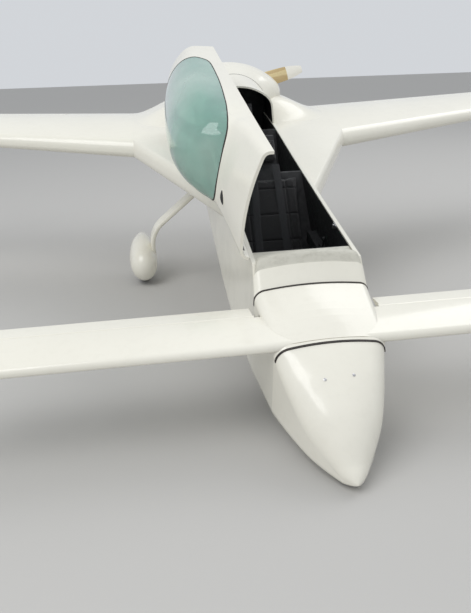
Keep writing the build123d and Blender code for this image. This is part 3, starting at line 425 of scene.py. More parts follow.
def black_paint_and_painted_shade():
    """Black flecked interior paint over glass cloth, its weave just showing; also laid on the near-black
    sheets of painted shade in the cockpit, under the turtledeck, inside the canopy frame and in the vent.
    """
    f = Finish("black_paint_and_painted_shade", (0.016, 0.016, 0.018), 0.62)
    flecks = f.spread(f.noise(420, 2, 0.7), 0.6, 0.72, 0, 0.6)
    f.colour(f.blend(flecks, (0.008, 0.008, 0.009), (0.035, 0.033, 0.031)))
    f.roughness(f.spread(f.noise(30, 3, 0.6), 0.3, 0.7, 0.5, 0.78))
    cloth = f.maths("MULTIPLY", f.waves(120, "X"), f.waves(120, "Y"))
    under = f.bump(cloth, 0.0003)
    f.bump(f.noise(260, 3, 0.6), 0.0004, under)
    return f.material


def seat_cloth():
    """Charcoal woven cloth: two crossed sets of threads, with lint and slow fading."""
    f = Finish("seat_cloth", (0.014, 0.014, 0.016), 0.9, Sheen_Weight=0.12, Sheen_Roughness=0.5)
    warp = f.waves(210, "X", 0.4)
    weft = f.waves(210, "Y", 0.4, (math.radians(45), 0, 0))
    threads = f.maths("MAXIMUM", warp, weft)
    lint = f.spread(f.noise(90, 4, 0.7), 0.55, 0.75)
    shade = f.blend(threads, (0.006, 0.006, 0.007), (0.022, 0.021, 0.022))
    f.colour(f.blend(f.maths("MULTIPLY", lint, 0.3), shade, (0.06, 0.056, 0.052)))
    under = f.bump(f.noise(14, 3, 0.6), 0.003)
    f.bump(threads, 0.0006, under)
    return f.material


def ledge_trim():
    """Beige-grey painted sill, matt, with handling marks."""
    f = Finish("ledge_trim", (0.56, 0.545, 0.47), 0.55)
    marks = f.spread(f.noise(18, 6, 0.7, (1, 3, 1)), 0.45, 0.75)
    f.colour(f.blend(marks, (0.60, 0.585, 0.51), (0.47, 0.455, 0.39)))
    f.roughness(f.spread(marks, 0, 1, 0.5, 0.75))
    f.bump(f.noise(300, 2, 0.5), 0.00025)
    return f.material


def seam_filler():
    """Dark brown-black seam tape, slightly perished."""
    f = Finish("seam_filler", (0.02, 0.016, 0.014), 0.7)
    dust = f.spread(f.noise(70, 4, 0.7), 0.4, 0.8)
    f.colour(f.blend(dust, (0.018, 0.015, 0.014), (0.07, 0.055, 0.045)))
    f.bump(f.noise(350, 3, 0.6), 0.0003)
    return f.material


def harness_web():
    """Grey webbing: fine ribs along the strap over a coarse cross weave."""
    f = Finish("harness_web", (0.03, 0.03, 0.032), 0.8, Sheen_Weight=0.1)
    ribs = f.maths("MULTIPLY", f.waves(300, "X"), f.waves(240, "Y"))
    f.colour(f.blend(ribs, (0.018, 0.018, 0.02), (0.045, 0.045, 0.048)))
    f.bump(ribs, 0.0003)
    return f.material


def lamp_lens(name, tint):
    """Coloured lamp lens with fine ribs."""
    f = Finish(name, tint, 0.08, IOR=1.5, Transmission_Weight=0.4, Coat_Weight=0.5)
    f.colour(f.blend(f.spread(f.noise(40, 2), 0.3, 0.7), tint, tuple(0.7 * v for v in tint)))
    f.bump(f.waves(60, "Z"), 0.0002)
    return f.material


def tyre_rubber():
    """Black rubber with dust in slow patches."""
    f = Finish("tyre_rubber", (0.02, 0.02, 0.021), 0.85)
    dust = f.spread(f.noise(25, 6, 0.7), 0.4, 0.75, 0, 0.6)
    f.colour(f.blend(dust, (0.018, 0.018, 0.019), (0.11, 0.10, 0.085)))
    f.bump(f.noise(500, 3, 0.6), 0.0003)
    return f.material


def cast_alloy():
    """Satin cast alloy with a fine grain and dull smears."""
    f = Finish("cast_alloy", (0.66, 0.66, 0.67), 0.36, 1.0)
    smears = f.spread(f.noise(22, 5, 0.7), 0.4, 0.75)
    f.colour(f.blend(smears, (0.68, 0.68, 0.69), (0.42, 0.41, 0.40)))
    f.roughness(f.spread(smears, 0, 1, 0.3, 0.55))
    f.bump(f.noise(420, 3, 0.6), 0.00015)
    return f.material


def brushed_steel():
    """Steel drawn along Y: long thin scratches in roughness and height."""
    f = Finish("brushed_steel", (0.5, 0.5, 0.51), 0.34, 1.0)
    drawn = f.noise(90, 4, 0.7, (12, 1, 12))
    f.colour(f.blend(f.spread(drawn, 0.3, 0.7), (0.56, 0.56, 0.57), (0.38, 0.375, 0.37)))
    f.roughness(f.spread(drawn, 0.3, 0.7, 0.24, 0.46))
    f.bump(drawn, 0.00012)
    return f.material


def laminated_maple():
    """Varnished pale laminations, grain along the blade, and a white tip by distance from the hub."""
    f = Finish("laminated_maple", (0.62, 0.50, 0.26), 0.22, Coat_Weight=0.6, Coat_Roughness=0.05)
    layers = f.spread(f.waves(9, "Y", 0.5, (-PARKED_ANGLE, 0, 0)), 0.35, 0.65)
    grain = f.noise(60, 5, 0.6, (0.6, 9, 9))
    wood = f.blend(layers, (0.68, 0.56, 0.30), (0.52, 0.39, 0.19))
    wood = f.blend(f.spread(grain, 0.45, 0.75, 0, 0.5), wood, (0.33, 0.21, 0.09))
    away = f.tree.nodes.new("ShaderNodeVectorMath")
    away.operation = "DISTANCE"
    f.feed(away.inputs[0], f.place)
    away.inputs[1].default_value = parked(HUB_PLACE).tolist()
    tip = f.spread(away.outputs["Value"], *BLADE_TIP)
    f.colour(f.blend(tip, wood, (0.82, 0.80, 0.73)))
    f.bump(grain, 0.0002)
    return f.material


def scorched_steel():
    """Exhaust stub: heat-tinted brown steel with patches of soot."""
    f = Finish("scorched_steel", (0.2, 0.15, 0.11), 0.5, 1.0)
    stain = f.spread(f.noise(24, 6, 0.7), 0.35, 0.7)
    f.colour(f.blend(stain, (0.30, 0.22, 0.16), (0.06, 0.05, 0.045)))
    f.roughness(f.spread(stain, 0, 1, 0.35, 0.75))
    f.bump(f.noise(200, 4, 0.7), 0.0003)
    return f.material

HUB_PLACE, BLADE_TIP = (0, 3800, 540), (0.590, 0.592)
# The finish of each material slot, then finishes for pieces that lie in another's slot
FINISHES = {
    "white_paint": hull_paint(), "canopy_glass": tinted_acrylic(), "sill_trim": ledge_trim(),
    "cabin_dark": black_paint_and_painted_shade(), "upholstery": seat_cloth(), "tyre": tyre_rubber(), "alloy": cast_alloy(),
    "steel": brushed_steel(), "propeller_paint": laminated_maple(),
    "spinner_paint": hull_paint("spinner_paint"), "seam_filler": seam_filler(),
    "scorched_steel": scorched_steel(), "harness_web": harness_web(),
    "lamp_left": lamp_lens("lamp_red", (0.75, 0.04, 0.03)),
    "lamp_right": lamp_lens("lamp_green", (0.03, 0.55, 0.16)),
}


def dress_nodes():
    """Give every CAD node the finish of its material slot, and the exhaust pipes their own."""
    for row in frame["record"]["subparts"]:
        finish = "scorched_steel" if row["node"] == "exhaust_pipes" else row["material_slot"]
        mesh = nodes[row["node"]].data
        mesh.materials.clear()
        mesh.materials.append(FINISHES[finish])


# Canopy. Faces are insets from its outer surface, and places are (station, share of the arch).

RING_STEPS, FRAME_STEPS, GLASS_STEPS, VENT_STEPS = 300, 34, 30, 48
WINDOW_MIDDLE, RING_SCALE = np.array([2000.0, 0.0]), np.array([1000.0, 1.0])
FRAME_FACES, CANOPY_SHADE_FACES, GLASS_FACES, SEAL_FACES = (0, 14), (14.1, 15.4), (0.2, 5.2), (-0.9, 1.5)
CANOPY_SHADE_SPAN, SEAL_REACH, GLASS_SPINE = (0.02, 0.88), (0.993, 1.005), (1750, 2300)
VENT_PLACE, VENT_HALF, VENT_TAPER, VENT_LIP = np.array([1252, -0.385]), (27, 0.12), 0.45, 1.18
VENT_SHADE_FACES, VENT_LIP_FACES = (-0.7, 1.0), (-1.6, 1.0)
RAIL_SEAL_ENDS, RAIL_SEAL_SHARES, RAIL_SEAL_FACES = (1120, 2840), np.array([0.985, 0.995]), (15.4, 22)
LATCH_Y = 1240


def window_rings():
    """Matched loops round the window and round the canopy's border.

    Both are read at the same angles about the window's middle, the border's four corners among them,
    with stations in metres so that the angles spread evenly.
    """
    low, high = ((np.array([row[0], share]) - WINDOW_MIDDLE) / RING_SCALE
                 for row, share in ((CANOPY_ROWS[0], -1), (CANOPY_ROWS[-1], 1)))
    corners = [math.atan2(s, y) for y in (low[0], high[0]) for s in (low[1], high[1])]
    angle = np.sort(np.concatenate([np.linspace(-math.pi, math.pi, RING_STEPS, endpoint=False), corners]))
    ray = np.stack([np.cos(angle), np.sin(angle)], -1)
    with np.errstate(divide="ignore"):
        reach = np.min(np.where(ray > 0, high / ray, low / np.where(ray == 0, -1e-12, ray)), 1)
    border = WINDOW_MIDDLE + ray * reach[:, None] * RING_SCALE
    steps = np.arange(len(WINDOW_EDGE))
    half = smooth_rows(np.column_stack([steps, WINDOW_EDGE]), np.linspace(0, steps[-1], 2 * RING_STEPS))
    away = (np.concatenate([half, half[-2:0:-1] * (1, -1)]) - WINDOW_MIDDLE) / RING_SCALE
    around = np.arctan2(away[:, 1], away[:, 0])
    order = np.argsort(around)
    size = np.interp(angle, around[order], np.hypot(away[:, 0], away[:, 1])[order], period=2 * math.pi)
    return WINDOW_MIDDLE + ray * size[:, None] * RING_SCALE, border


def between(first, last, steps, start=0.0, end=1.0):
    """Loops at even shares of the way from the first loop to the last."""
    share = np.linspace(start, end, steps)[:, None, None]
    return first + (last - first) * share


def canopy_points(places, inset):
    return arch_points(CANOPY_ROWS, places[..., 0], places[..., 1], inset)


def canopy_wall(loops, faces):
    """Closed wall over the canopy surface between two insets."""
    return shell(*(canopy_points(loops, inset) for inset in faces), wrap=True)


def make_canopy():
    """Frame from window to border with a near-black sheet of painted shade inside it, glass from a spine on
    the crown to the window, its seal.
    """
    window, border = window_rings()
    on_canopy("canopy_frame_moulding", canopy_wall(between(window, border, FRAME_STEPS), FRAME_FACES),
              "white_paint", stands_for=("canopy_frame",))
    shade_loops = between(window, border, GLASS_STEPS, *CANOPY_SHADE_SPAN)
    # Painted shade: a near-black sheet over the inner face of the frame.
    on_canopy("canopy_frame_shade_sheet", canopy_wall(shade_loops, CANOPY_SHADE_FACES), "cabin_dark")
    spine = np.stack([np.clip(window[:, 0], *GLASS_SPINE), 0 * window[:, 1]], -1)
    glass = between(spine, window, GLASS_STEPS)
    both = np.concatenate([canopy_points(glass, GLASS_FACES[0]), canopy_points(glass[::-1], GLASS_FACES[1])])
    bubble = both.reshape(-1, 3), quads_of(grid_index(*both.shape[:2], True))
    on_canopy("canopy_bubble", bubble, "canopy_glass", stands_for=("canopy_glass",))
    near, far = (WINDOW_MIDDLE + (window - WINDOW_MIDDLE) * reach for reach in SEAL_REACH)
    on_canopy("canopy_glass_seal", canopy_wall(between(near, far, 4), SEAL_FACES), "seam_filler")


def make_vent():
    """Small teardrop vent low on the starboard front of the frame, round below, drawn out above: its hole is
    a flat near-black patch on the surface, painted shade, with a white lip round it.
    """
    turn = np.linspace(0, 2 * math.pi, VENT_STEPS, endpoint=False)
    bulge = np.sin(turn) * (1 - VENT_TAPER * np.cos(turn))
    edge = VENT_PLACE + np.stack([VENT_HALF[0] * bulge, VENT_HALF[1] * np.cos(turn)], -1)
    shade_patch = between(np.broadcast_to(VENT_PLACE, edge.shape), edge, 8, 0.02)
    # Painted shade: a flat near-black patch stands for the dark inside of the vent.
    on_canopy("canopy_vent_painted_shade", canopy_wall(shade_patch, VENT_SHADE_FACES), "cabin_dark")
    lip = between(edge, VENT_PLACE + (edge - VENT_PLACE) * VENT_LIP, 5)
    on_canopy("canopy_vent_lip", canopy_wall(lip, VENT_LIP_FACES), "white_paint")


def make_rail_seals():
    """Strip inside each foot of the canopy frame."""
    station = np.linspace(*RAIL_SEAL_ENDS, 60)[:, None]
    for side, name, _ in SIDES:
        strip = np.stack(np.broadcast_arrays(station, RAIL_SEAL_SHARES * side), -1)
        seal = shell(*(canopy_points(strip, inset) for inset in RAIL_SEAL_FACES))
        on_canopy(f"canopy_rail_seal_{name}", seal, "seam_filler")


def make_latch():
    """Latch lever inside the canopy's port foot with a grip that hangs aft of it, its catch on the rail."""
    grip = [(224, LATCH_Y, 598), (215, LATCH_Y + 22, 596), (210, LATCH_Y + 62, 595)]
    lever = [block((231, LATCH_Y, 600), (5, 34, 11)), block((226, LATCH_Y, 598), (9, 9, 14)),
             tube(grip, (6, 5.5, 4.5), 14)]
    on_canopy("canopy_latch", joined(lever), "alloy")
    catch = [block((243, LATCH_Y, 548), (4, 26, 8)), block((238, LATCH_Y, 541), (8, 7, 12))]
    make("canopy_catch", joined(catch), "steel")


# Hull

NOSE_TIP, NOSE_TIP_Z, NOSE_DRAW = -51.0, 66.0, 0.72
ARCH_STEPS, COVER_STEPS = 121, 141
DECK_ENDS, DECK_WALL = (776, 842), 12
FLANGE_ENDS, FLANGE_STEP, FLANGE_WALL = (842.5, 906), np.array([3.0, *np.linspace(7, 20, 14)]), 6
SEAM_FACES = (-1.4, 3.0)
FRONT_SEAM_ENDS, FRONT_SEAM_ROW = (423, 437), 431.0
REAR_SEAM_ENDS, REAR_SEAM_DROP = (767, 781), 0.035
REAR_SEAM_ARCH, REAR_SEAM_TUB = (276, 430, 275, 438, 501, 53), (282, 276, -38, 428, 70)
NOSE_CAPS, CAP_PROFILE = ((-70, 275), (55, 280)), [(-2, 7), (1.5, 7), (2.2, 5), (2.2, 0.5)]
HULL_WALL, SHADE_SHEET_WALL, CABIN_SHADE_ENDS = 20.0, 1.2, (897, 3160)
WELL_HALF_WIDTH, WELL_REAR = 70, 1198
TURTLE_SHADE_ENDS, TURTLE_SHADE_FACES = (2890, 3163), (12.1, 13.4)


def make_nose():
    """Egg-shaped nose: arch over a rounded tub, drawn in ahead of the first row by a power of the way."""
    ahead = NOSE_TIP * (1 - np.linspace(0.06, 1, 14) ** 2)
    y = np.concatenate([ahead[:-1], np.linspace(0, NOSE_ROWS[-1][0], 56)])
    rows = smooth_rows(NOSE_ROWS, np.maximum(y, 0))[:, None]
    x, z = arch(rows[..., NOSE_ARCH], np.linspace(1, -1, ARCH_STEPS)[None])
    low_x, low_z = tub_path(*np.moveaxis(rows[..., NOSE_TUB], -1, 0), np.linspace(0, 1, 48)[None])
    round_x = np.concatenate([x, -low_x[:, 1:], low_x[:, -2:0:-1]], 1)
    round_z = np.concatenate([z, low_z[:, 1:], low_z[:, -2:0:-1]], 1)
    draw = np.clip((y - NOSE_TIP) / -NOSE_TIP, 0, 1)[:, None] ** NOSE_DRAW
    drawn_z = NOSE_TIP_Z + (round_z - NOSE_TIP_Z) * draw
    grid = np.stack([round_x * draw, y[:, None] + 0 * round_x, drawn_z], -1)
    make("nose_moulding", skin(grid), "white_paint", stands_for=("nose_shell",), sharp=50)


def make_nose_caps():
    """Two flush fasteners on the nose, each a low turned cap at the arch's height."""
    for x, y in NOSE_CAPS:
        across, up = arch(smooth_rows(NOSE_ROWS, y)[NOSE_ARCH], np.linspace(-1, 1, 801))
        place = (x, y, np.interp(x, across, up))
        make(f"nose_cap_{y}", lathe(CAP_PROFILE, place, (x / 500, -0.5, 1), 28), "alloy")


def cover_sheet(table, ends, rows, near, far):
    """Closed arched sheet between two stations; near and far are insets, or arrays of one per row."""
    y, share = np.linspace(*ends, rows)[:, None], np.linspace(-1, 1, COVER_STEPS)[None]
    return shell(*(arch_points(table, y, share, np.reshape(inset, (-1, 1))) for inset in (near, far)))


def make_covers():
    """White deck, the beige flange it steps down to, dark seams before and behind the canard cover."""
    make("deck_moulding", cover_sheet(DECK_ROWS, DECK_ENDS, 14, 0, DECK_WALL), "white_paint",
         stands_for=("forward_deck",))
    flange = cover_sheet(DECK_ROWS, FLANGE_ENDS, len(FLANGE_STEP), FLANGE_STEP, FLANGE_STEP + FLANGE_WALL)
    make("deck_flange", flange, "sill_trim")
    row = smooth_rows(NOSE_ROWS, FRONT_SEAM_ROW)
    seam = seam_strip(row[NOSE_ARCH], row[NOSE_TUB], FRONT_SEAM_ENDS, 0)
    make("cover_seam_front", seam, "seam_filler")
    seam = seam_strip(REAR_SEAM_ARCH, REAR_SEAM_TUB, REAR_SEAM_ENDS, REAR_SEAM_DROP)
    make("cover_seam_rear", seam, "seam_filler")


def seam_strip(over, tub, ends, drop):
    """Filled seam over the arch and a share of the way down each side, a little proud of the surface."""
    down = np.linspace(0.004, drop, 12 if drop else 0)
    sheets = []
    for inset in SEAM_FACES:
        x, z = arch(np.asarray(over, float), np.linspace(1, -1, ARCH_STEPS), inset)
        side_x, side_z = tub_path(*np.asarray(tub, float), down)
        x = np.concatenate([side_x[::-1] - inset, x, -side_x + inset])
        z = np.concatenate([side_z[::-1], z, side_z])
        sheets.append(np.stack(np.broadcast_arrays(x, np.linspace(*ends, 4)[:, None], z), -1))
    return shell(*sheets)


def tub_shade_sheet(side):
    """Thin sheet of painted shade over the tub's inner wall, from the rail down and in to the edge of the
    wheel well.
    """
    y = np.linspace(*CABIN_SHADE_ENDS, 60)[:, None]
    low, half, floor, rail, corner = np.moveaxis(smooth_rows(TUB_ROWS, y), -1, 0)
    sheets = []
    for wall in (HULL_WALL, HULL_WALL + SHADE_SHEET_WALL):
        x, z = tub_path(low - wall, half - wall, floor + wall, rail, corner - wall,
                        np.linspace(0.012, 1, 60)[None], WELL_HALF_WIDTH)
        sheets.append(np.stack([side * x, y + 0 * x, z], -1))
    return shell(*sheets)


def make_cabin_painted_shade():
    """Near-black sheets down each side and over the floor behind the wheel well, and under the turtledeck:
    painted shade inside the cockpit and the turtledeck.
    """
    y = np.linspace(WELL_REAR, CABIN_SHADE_ENDS[1], 40)[:, None]
    x = np.linspace(-WELL_HALF_WIDTH, WELL_HALF_WIDTH, 6)[None]
    floor = smooth_rows(TUB_ROWS, y)[..., 2] + HULL_WALL
    strip = shell(*(np.stack(np.broadcast_arrays(x, y, floor + lift), -1) for lift in (0, SHADE_SHEET_WALL)))
    # Painted shade: these near-black sheets stand for the shade inside the cockpit and under the turtledeck.
    make("cabin_shade_sheet", joined([tub_shade_sheet(1), tub_shade_sheet(-1), strip]), "cabin_dark")
    arched = cover_sheet(TURTLE_ROWS, TURTLE_SHADE_ENDS, 12, *TURTLE_SHADE_FACES)
    make("turtledeck_shade_sheet", arched, "cabin_dark")


# Strakes: distance out, leading edge, chord and upper height over chord of the two end sections

STRAKE_INNER, STRAKE_OUTER = (240, 1652, 2008, 0.053), (775, 2751, 914, 0.108)
WING_Z, CREST_PLACE, EDGE_HALF = 432, 0.35, 0.004
FAIRING_X, FAIRING_Y, FAIRING_STEPS = (300, 772), (2960, 3656), (56, 72)
FAIRING_HEIGHT, FAIRING_SINK, FAIRING_WALL = 148, 5, 12
FADE_START, FADE_WIDTH, FAIRING_RISE, FAIRING_TAIL = 340, 450, 330, 3860


def strake_top(x, y):
    """Upper surface of the strake: at equal shares of the chord, straight between its two end sections.

    Each end's surface is one circle through its crest and its blunt trailing edge.
    """
    inner_x, inner_lead, inner_chord, inner_upper = STRAKE_INNER
    outer_x, outer_lead, outer_chord, outer_upper = STRAKE_OUTER
    share = np.clip((x - inner_x) / (outer_x - inner_x), 0, 1)
    lead = inner_lead + share * (outer_lead - inner_lead)
    along = (y - lead) / (inner_chord + share * (outer_chord - inner_chord))

    def height(chord, upper):
        crest, top, edge = CREST_PLACE * chord, upper * chord, EDGE_HALF * chord
        drop = ((chord - crest) ** 2 + edge**2 - top**2) / (2 * (top - edge))
        return np.sqrt(np.maximum((top + drop) ** 2 - (along * chord - crest) ** 2, 0)) - drop
    return WING_Z + (1 - share) * height(inner_chord, inner_upper) + share * height(outer_chord, outer_upper)


def make_strake_fairings():
    """Swelling where the cowl's cheek runs out into the strake: a cosine hump across and fore and aft."""
    x, y = (np.linspace(*ends, n) for ends, n in zip((FAIRING_X, FAIRING_Y), FAIRING_STEPS))
    x, y = np.meshgrid(x, y, indexing="ij")
    fade = 0.5 + 0.5 * np.cos(math.pi * np.clip((x - FADE_START) / FADE_WIDTH, 0, 1))
    swell = 0.5 - 0.5 * np.cos(math.pi * np.clip((y - FAIRING_Y[0]) / FAIRING_RISE, 0, 1))
    swell = swell * np.clip((FAIRING_TAIL - y) / FAIRING_RISE, 0, 1) ** 0.6
    base = strake_top(x, y)
    top = base - FAIRING_SINK + FAIRING_HEIGHT * fade * swell
    for side, _, name in SIDES:
        fairing = shell(*(np.stack([side * x, y, z], -1) for z in (top, base - FAIRING_WALL)))
        make(f"strake_fairing_{name}", fairing, "white_paint", sharp=60)


# Seats: foot and head of each back as (y, z). Pads and their sewn grooves are in parked metres.

SEATS = (("front", (1430, -28), (1965, 552)), ("rear", (2330, -28), (2760, 552)))
ACROSS = np.array([1.0, 0, 0])
PAD_VOXEL, PAD_PRESSURE, PAD_FRAMES = 0.006, 4, 20
SEAT_SHRINK, BACK_RISE, PAN_RISE, HEADREST_RISE = 0.965, 0.014, 0.012, 0.006
GROOVE_WIDTH, GROOVE_DEPTH = 0.006, 0.007
BACK_CHANNELS, UPRIGHT_CHANNELS, PAN_CHANNELS = (190, 120, 4), (-120, 120), (60, 140)
STRAP_HALF, STRAP_THICK, STRAP_START, STRAP_OUT = 23, 1.4, 165, 88
LAP_REACH, LAP_UP, BUCKLE_OUT = 190, 158, 81


def seat_axes(foot, head):
    """Foot, direction up the seat back, direction out of it, as (x, y, z), and the back's length."""
    along = np.array([0.0, head[0] - foot[0], head[1] - foot[1]])
    length = np.linalg.norm(along)
    along /= length
    return np.array([0.0, *foot]), along, np.array([0.0, -along[2], along[1]]), length


def cushion_from(node, name, shrink, rise, grooves, out):
    """A pad blown up from its CAD solid by cloth pressure, by rise at most, then sewn in.

    Each groove is (point, direction across it): a bell-shaped dip on the side that faces out.
    """
    mesh = bpy.data.meshes.new(name)
    work = bmesh.new()
    work.from_mesh(nodes[node].data)
    bmesh.ops.remove_doubles(work, verts=work.verts, dist=1e-5)
    work.to_mesh(mesh)
    work.free()
    # Added up in turn and in single precision, as the cloth's outcome hangs on the last digit
    corners = read_points(mesh).astype(np.float32)
    middle = corners.cumsum(0)[-1] * np.float32(1 / len(corners))
    mesh.vertices.foreach_set("co", (middle + (corners - middle) * shrink).ravel())
    pad = bpy.data.objects.new(name, mesh)
    bpy.context.scene.collection.objects.link(pad)
    remesh = pad.modifiers.new("remesh", "REMESH")
    remesh.mode, remesh.voxel_size = "VOXEL", PAD_VOXEL
    bake(pad)
    start = read_points(pad.data)
    cloth = pad.modifiers.new("cloth", "CLOTH")
    cloth.settings.use_pressure = True
    cloth.settings.uniform_pressure_force = PAD_PRESSURE
    cloth.settings.effector_weights.gravity = 0
    cloth.point_cache.frame_start, cloth.point_cache.frame_end = 1, PAD_FRAMES
    for step in range(1, PAD_FRAMES + 1):
        bpy.context.scene.frame_set(step)
    bake(pad)
    bpy.context.scene.frame_set(1)
    move = read_points(pad.data) - start
    far = np.linalg.norm(move, axis=1, keepdims=True)
    points = start + move * np.minimum(1, rise / np.maximum(far, 1e-9))
    pad.data.vertices.foreach_set("co", points.ravel())
    smooth = pad.modifiers.new("smooth", "SUBSURF")
    smooth.levels = smooth.render_levels = 1
    bake(pad)
    points = read_points(pad.data)
    front = np.clip(read_points(pad.data, "normal") @ out, 0, 1)
    depth = np.zeros(len(points))
    for at, direction in grooves:
        depth = np.maximum(depth, np.exp(-(((points - at) @ direction) / GROOVE_WIDTH) ** 2))
    points -= (GROOVE_DEPTH * depth * front)[:, None] * out
    pad.data.vertices.foreach_set("co", points.ravel())
    pad.data.shade_smooth()
    pad.data.materials.clear()
    pad.data.materials.append(FINISHES["upholstery"])
    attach(pad, "airframe")
    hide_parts(node)


def bake(thing):
    """Put the modifiers' result into the mesh and take them off."""
    shown = thing.evaluated_get(bpy.context.evaluated_depsgraph_get())
    mesh = bpy.data.meshes.new_from_object(shown)
    thing.modifiers.clear()
    thing.data = mesh


def read_points(mesh, what="co"):
    """The vertices' places, or their normals, as rows of three."""
    values = np.zeros(len(mesh.vertices) * 3)
    mesh.vertices.foreach_get(what, values)
    return values.reshape(-1, 3)


def make_seats():
    """Back pads with four cross channels and two upright ones, pans with two, harness, headrests."""
    first, below_head, count = BACK_CHANNELS
    for seat, foot, head in SEATS:
        base, along, out, length = seat_axes(foot, head)
        heights = np.linspace(first, length - below_head, count)
        sewn = [(parked(base + along * u), turned(along)) for u in heights]
        sewn += [(parked(base + x * ACROSS), turned(ACROSS)) for x in UPRIGHT_CHANNELS]
        cushion_from(f"{seat}_back_cushion", f"{seat}_back_pad", SEAT_SHRINK, BACK_RISE, sewn, turned(out))
        sewn = [(parked(base - (0, ahead, 0)), turned(FORE_AND_AFT)) for ahead in PAN_CHANNELS]
        cushion_from(f"{seat}_pan_cushion", f"{seat}_pan_pad", SEAT_SHRINK, PAN_RISE, sewn, turned((0, 0, 1)))
        make_harness(seat, base, along, out, length)
    cushion_from("headrests", "headrest_pads", 1.0, HEADREST_RISE, [], turned((0, -1, 0)))


def make_harness(seat, base, along, out, length):
    """Two shoulder straps that draw together upwards, a lap strap bowed round the lap, and the buckle."""
    straps = []
    u = np.linspace(STRAP_START, length + 30, 40)[:, None]
    for x in (-STRAP_OUT, STRAP_OUT):
        inwards = x * ACROSS * (1 - 0.25 * (u - STRAP_START) / length)
        straps.append(ribbon(base + along * u + out * (71 + 3 * np.sin(u / 90)) + inwards, ACROSS, out))
    x = np.linspace(-LAP_REACH, LAP_REACH, 50)[:, None]
    share = x / LAP_REACH
    lap = base + along * (LAP_UP - 10 * share**2) + out * (76 - 16 * share**4) + x * ACROSS
    straps.append(ribbon(lap, along, out))
    make(f"{seat}_harness", joined(straps), "harness_web")
    axes = np.stack([ACROSS, along, out])
    buckle = base + along * LAP_UP + out * BUCKLE_OUT
    plates = [block(buckle, (30, 24, 7), 0.3, axes), block(buckle + out * 6, (18, 9, 4), 0.3, axes)]
    make(f"{seat}_harness_buckle", joined(plates), "steel")


def ribbon(path, wide, out):
    """Flat strap: a path widened both ways and thickened outwards, with rolled edges."""
    across = np.linspace(-1, 1, 7)[None, :, None]
    middle = path[:, None] + across * STRAP_HALF * wide
    roll = STRAP_THICK * (1 - across**6)
    return shell(middle + out * roll, middle - out * 0.4 * roll)


# Instruments: dials as (x, z, radius) on the panel's rear face

PANEL_REAR = 1022.0
DIALS = ((-190, 492, 38), (-104, 492, 38), (104, 492, 38), (190, 492, 38), (-190, 402, 34),
         (-108, 402, 34), (108, 402, 34), (190, 402, 34), (0, 500, 30))
RADIO_ROWS, SWITCH_Z = ((402, 26), (342, 22)), 232


def dial_mark(x, z, away, turn, lift, half, power, rows, cols):
    """Small block on a dial, away from its middle in a direction turned clockwise from upright."""
    s, c = math.sin(turn), math.cos(turn)
    axes = np.array([(c, 0, -s), (0, 1, 0), (s, 0, c)])
    return block((x + away * s, PANEL_REAR + lift, z + away * c), half, power, axes, rows, cols)


def make_instruments():
    """Round dials with bezel, face, ticks and needle, a row of switches and a plain radio block."""
    bezels, faces, marks = [], [], []
    for x, z, r in DIALS:
        place = (x, PANEL_REAR, z)
        section = [(-1, r), (4, r), (6, r - 2), (6, r - 5), (2, r - 7), (-1, r - 7)]
        bezels.append(lathe(section, place, FORE_AND_AFT, 48))
        faces.append(lathe([(-1, r - 6.8), (1.2, r - 6.8), (1.2, 0.5)], place, FORE_AND_AFT, 40))
        for turn in np.radians(np.arange(-140, 141, 28)):
            marks.append(dial_mark(x, z, r - 11, turn, 1.8, (0.8, 0.5, 3), 0.3, 4, 8))
        needle = math.radians((x * 7 + z * 3) % 200 - 100)
        marks.append(dial_mark(x, z, r * 0.28, needle, 2.6, (1.1, 0.6, r * 0.4), 0.5, 6, 10))
        marks.append(lathe([(1, 3.5), (3.4, 3.5), (3.6, 0.5)], place, FORE_AND_AFT, 18))
    make("instrument_bezels", joined(bezels), "alloy")
    make("instrument_faces", joined(faces), "cabin_dark")
    make("instrument_marks", joined(marks), "spinner_paint")
    switches = []
    for x in np.linspace(-40, 40, 6):
        nut = [(-1, 5), (2, 5), (3, 3.5), (3, 0.5)]
        lever = [(x, PANEL_REAR + out, SWITCH_Z + up) for out, up in ((1, 0), (9, 5), (15, 9))]
        switches += [lathe(nut, (x, PANEL_REAR, SWITCH_Z), FORE_AND_AFT, 20), tube(lever, (1.6, 2, 2.6), 10)]
    make("panel_switches", joined(switches), "steel")
    radio = [block((0, PANEL_REAR + 3, z), (56, 5, half), 0.12) for z, half in RADIO_ROWS]
    make("radio_stack", joined(radio), "cabin_dark")
    knob = [(-1, 8), (12, 7), (14, 5.5), (14, 0.5)]
    knobs = [lathe(knob, (x, PANEL_REAR + 7, z), FORE_AND_AFT, 28) for x in (-42, 42) for z in (342, 402)]
    make("radio_knobs", joined(knobs), "alloy")


# Running gear, power and lamps. Wheels: node, body, centre, radius, width, rim radius.

WHEELS = (("tyre_left", "wheel_left", (775, 2820, -518), 140, 98, 72),
          ("tyre_right", "wheel_right", (-775, 2820, -518), 140, 98, 72),
          ("nose_tyre", "nose_wheel", (0, 1045, -4), 120, 70, 58))
TREAD_PLACES, TREAD_HALF, TREAD_DEPTH = (-0.42, 0, 0.42), 1.7, 3.2
BOLT_PROFILE, BOLT_CIRCLE, BOLT_FACE = [(-2, 5), (3, 5), (4, 4), (4, 0.5)], 0.62, 0.41
SCREW_PROFILE = [(-2, 4), (0.8, 4), (1.4, 2.5), (1.4, 0.5)]
SPINNER_PLACE, SPINNER_R = np.array([0, 3790, 540]), 117.6
MOUTH_PROFILE = [(-30, 24.6), (3, 24.6), (3, 21), (-26, 21), (-26, 0.5)]
MOUTH_PLACE, MOUTH_AXIS = np.array([206.3, 3716, 284]), np.array([-0.04, 1, -0.21])
LAMP_PLACE, LAMP_HALF = np.array([3380, 3800, 470]), (5, 30, 11)


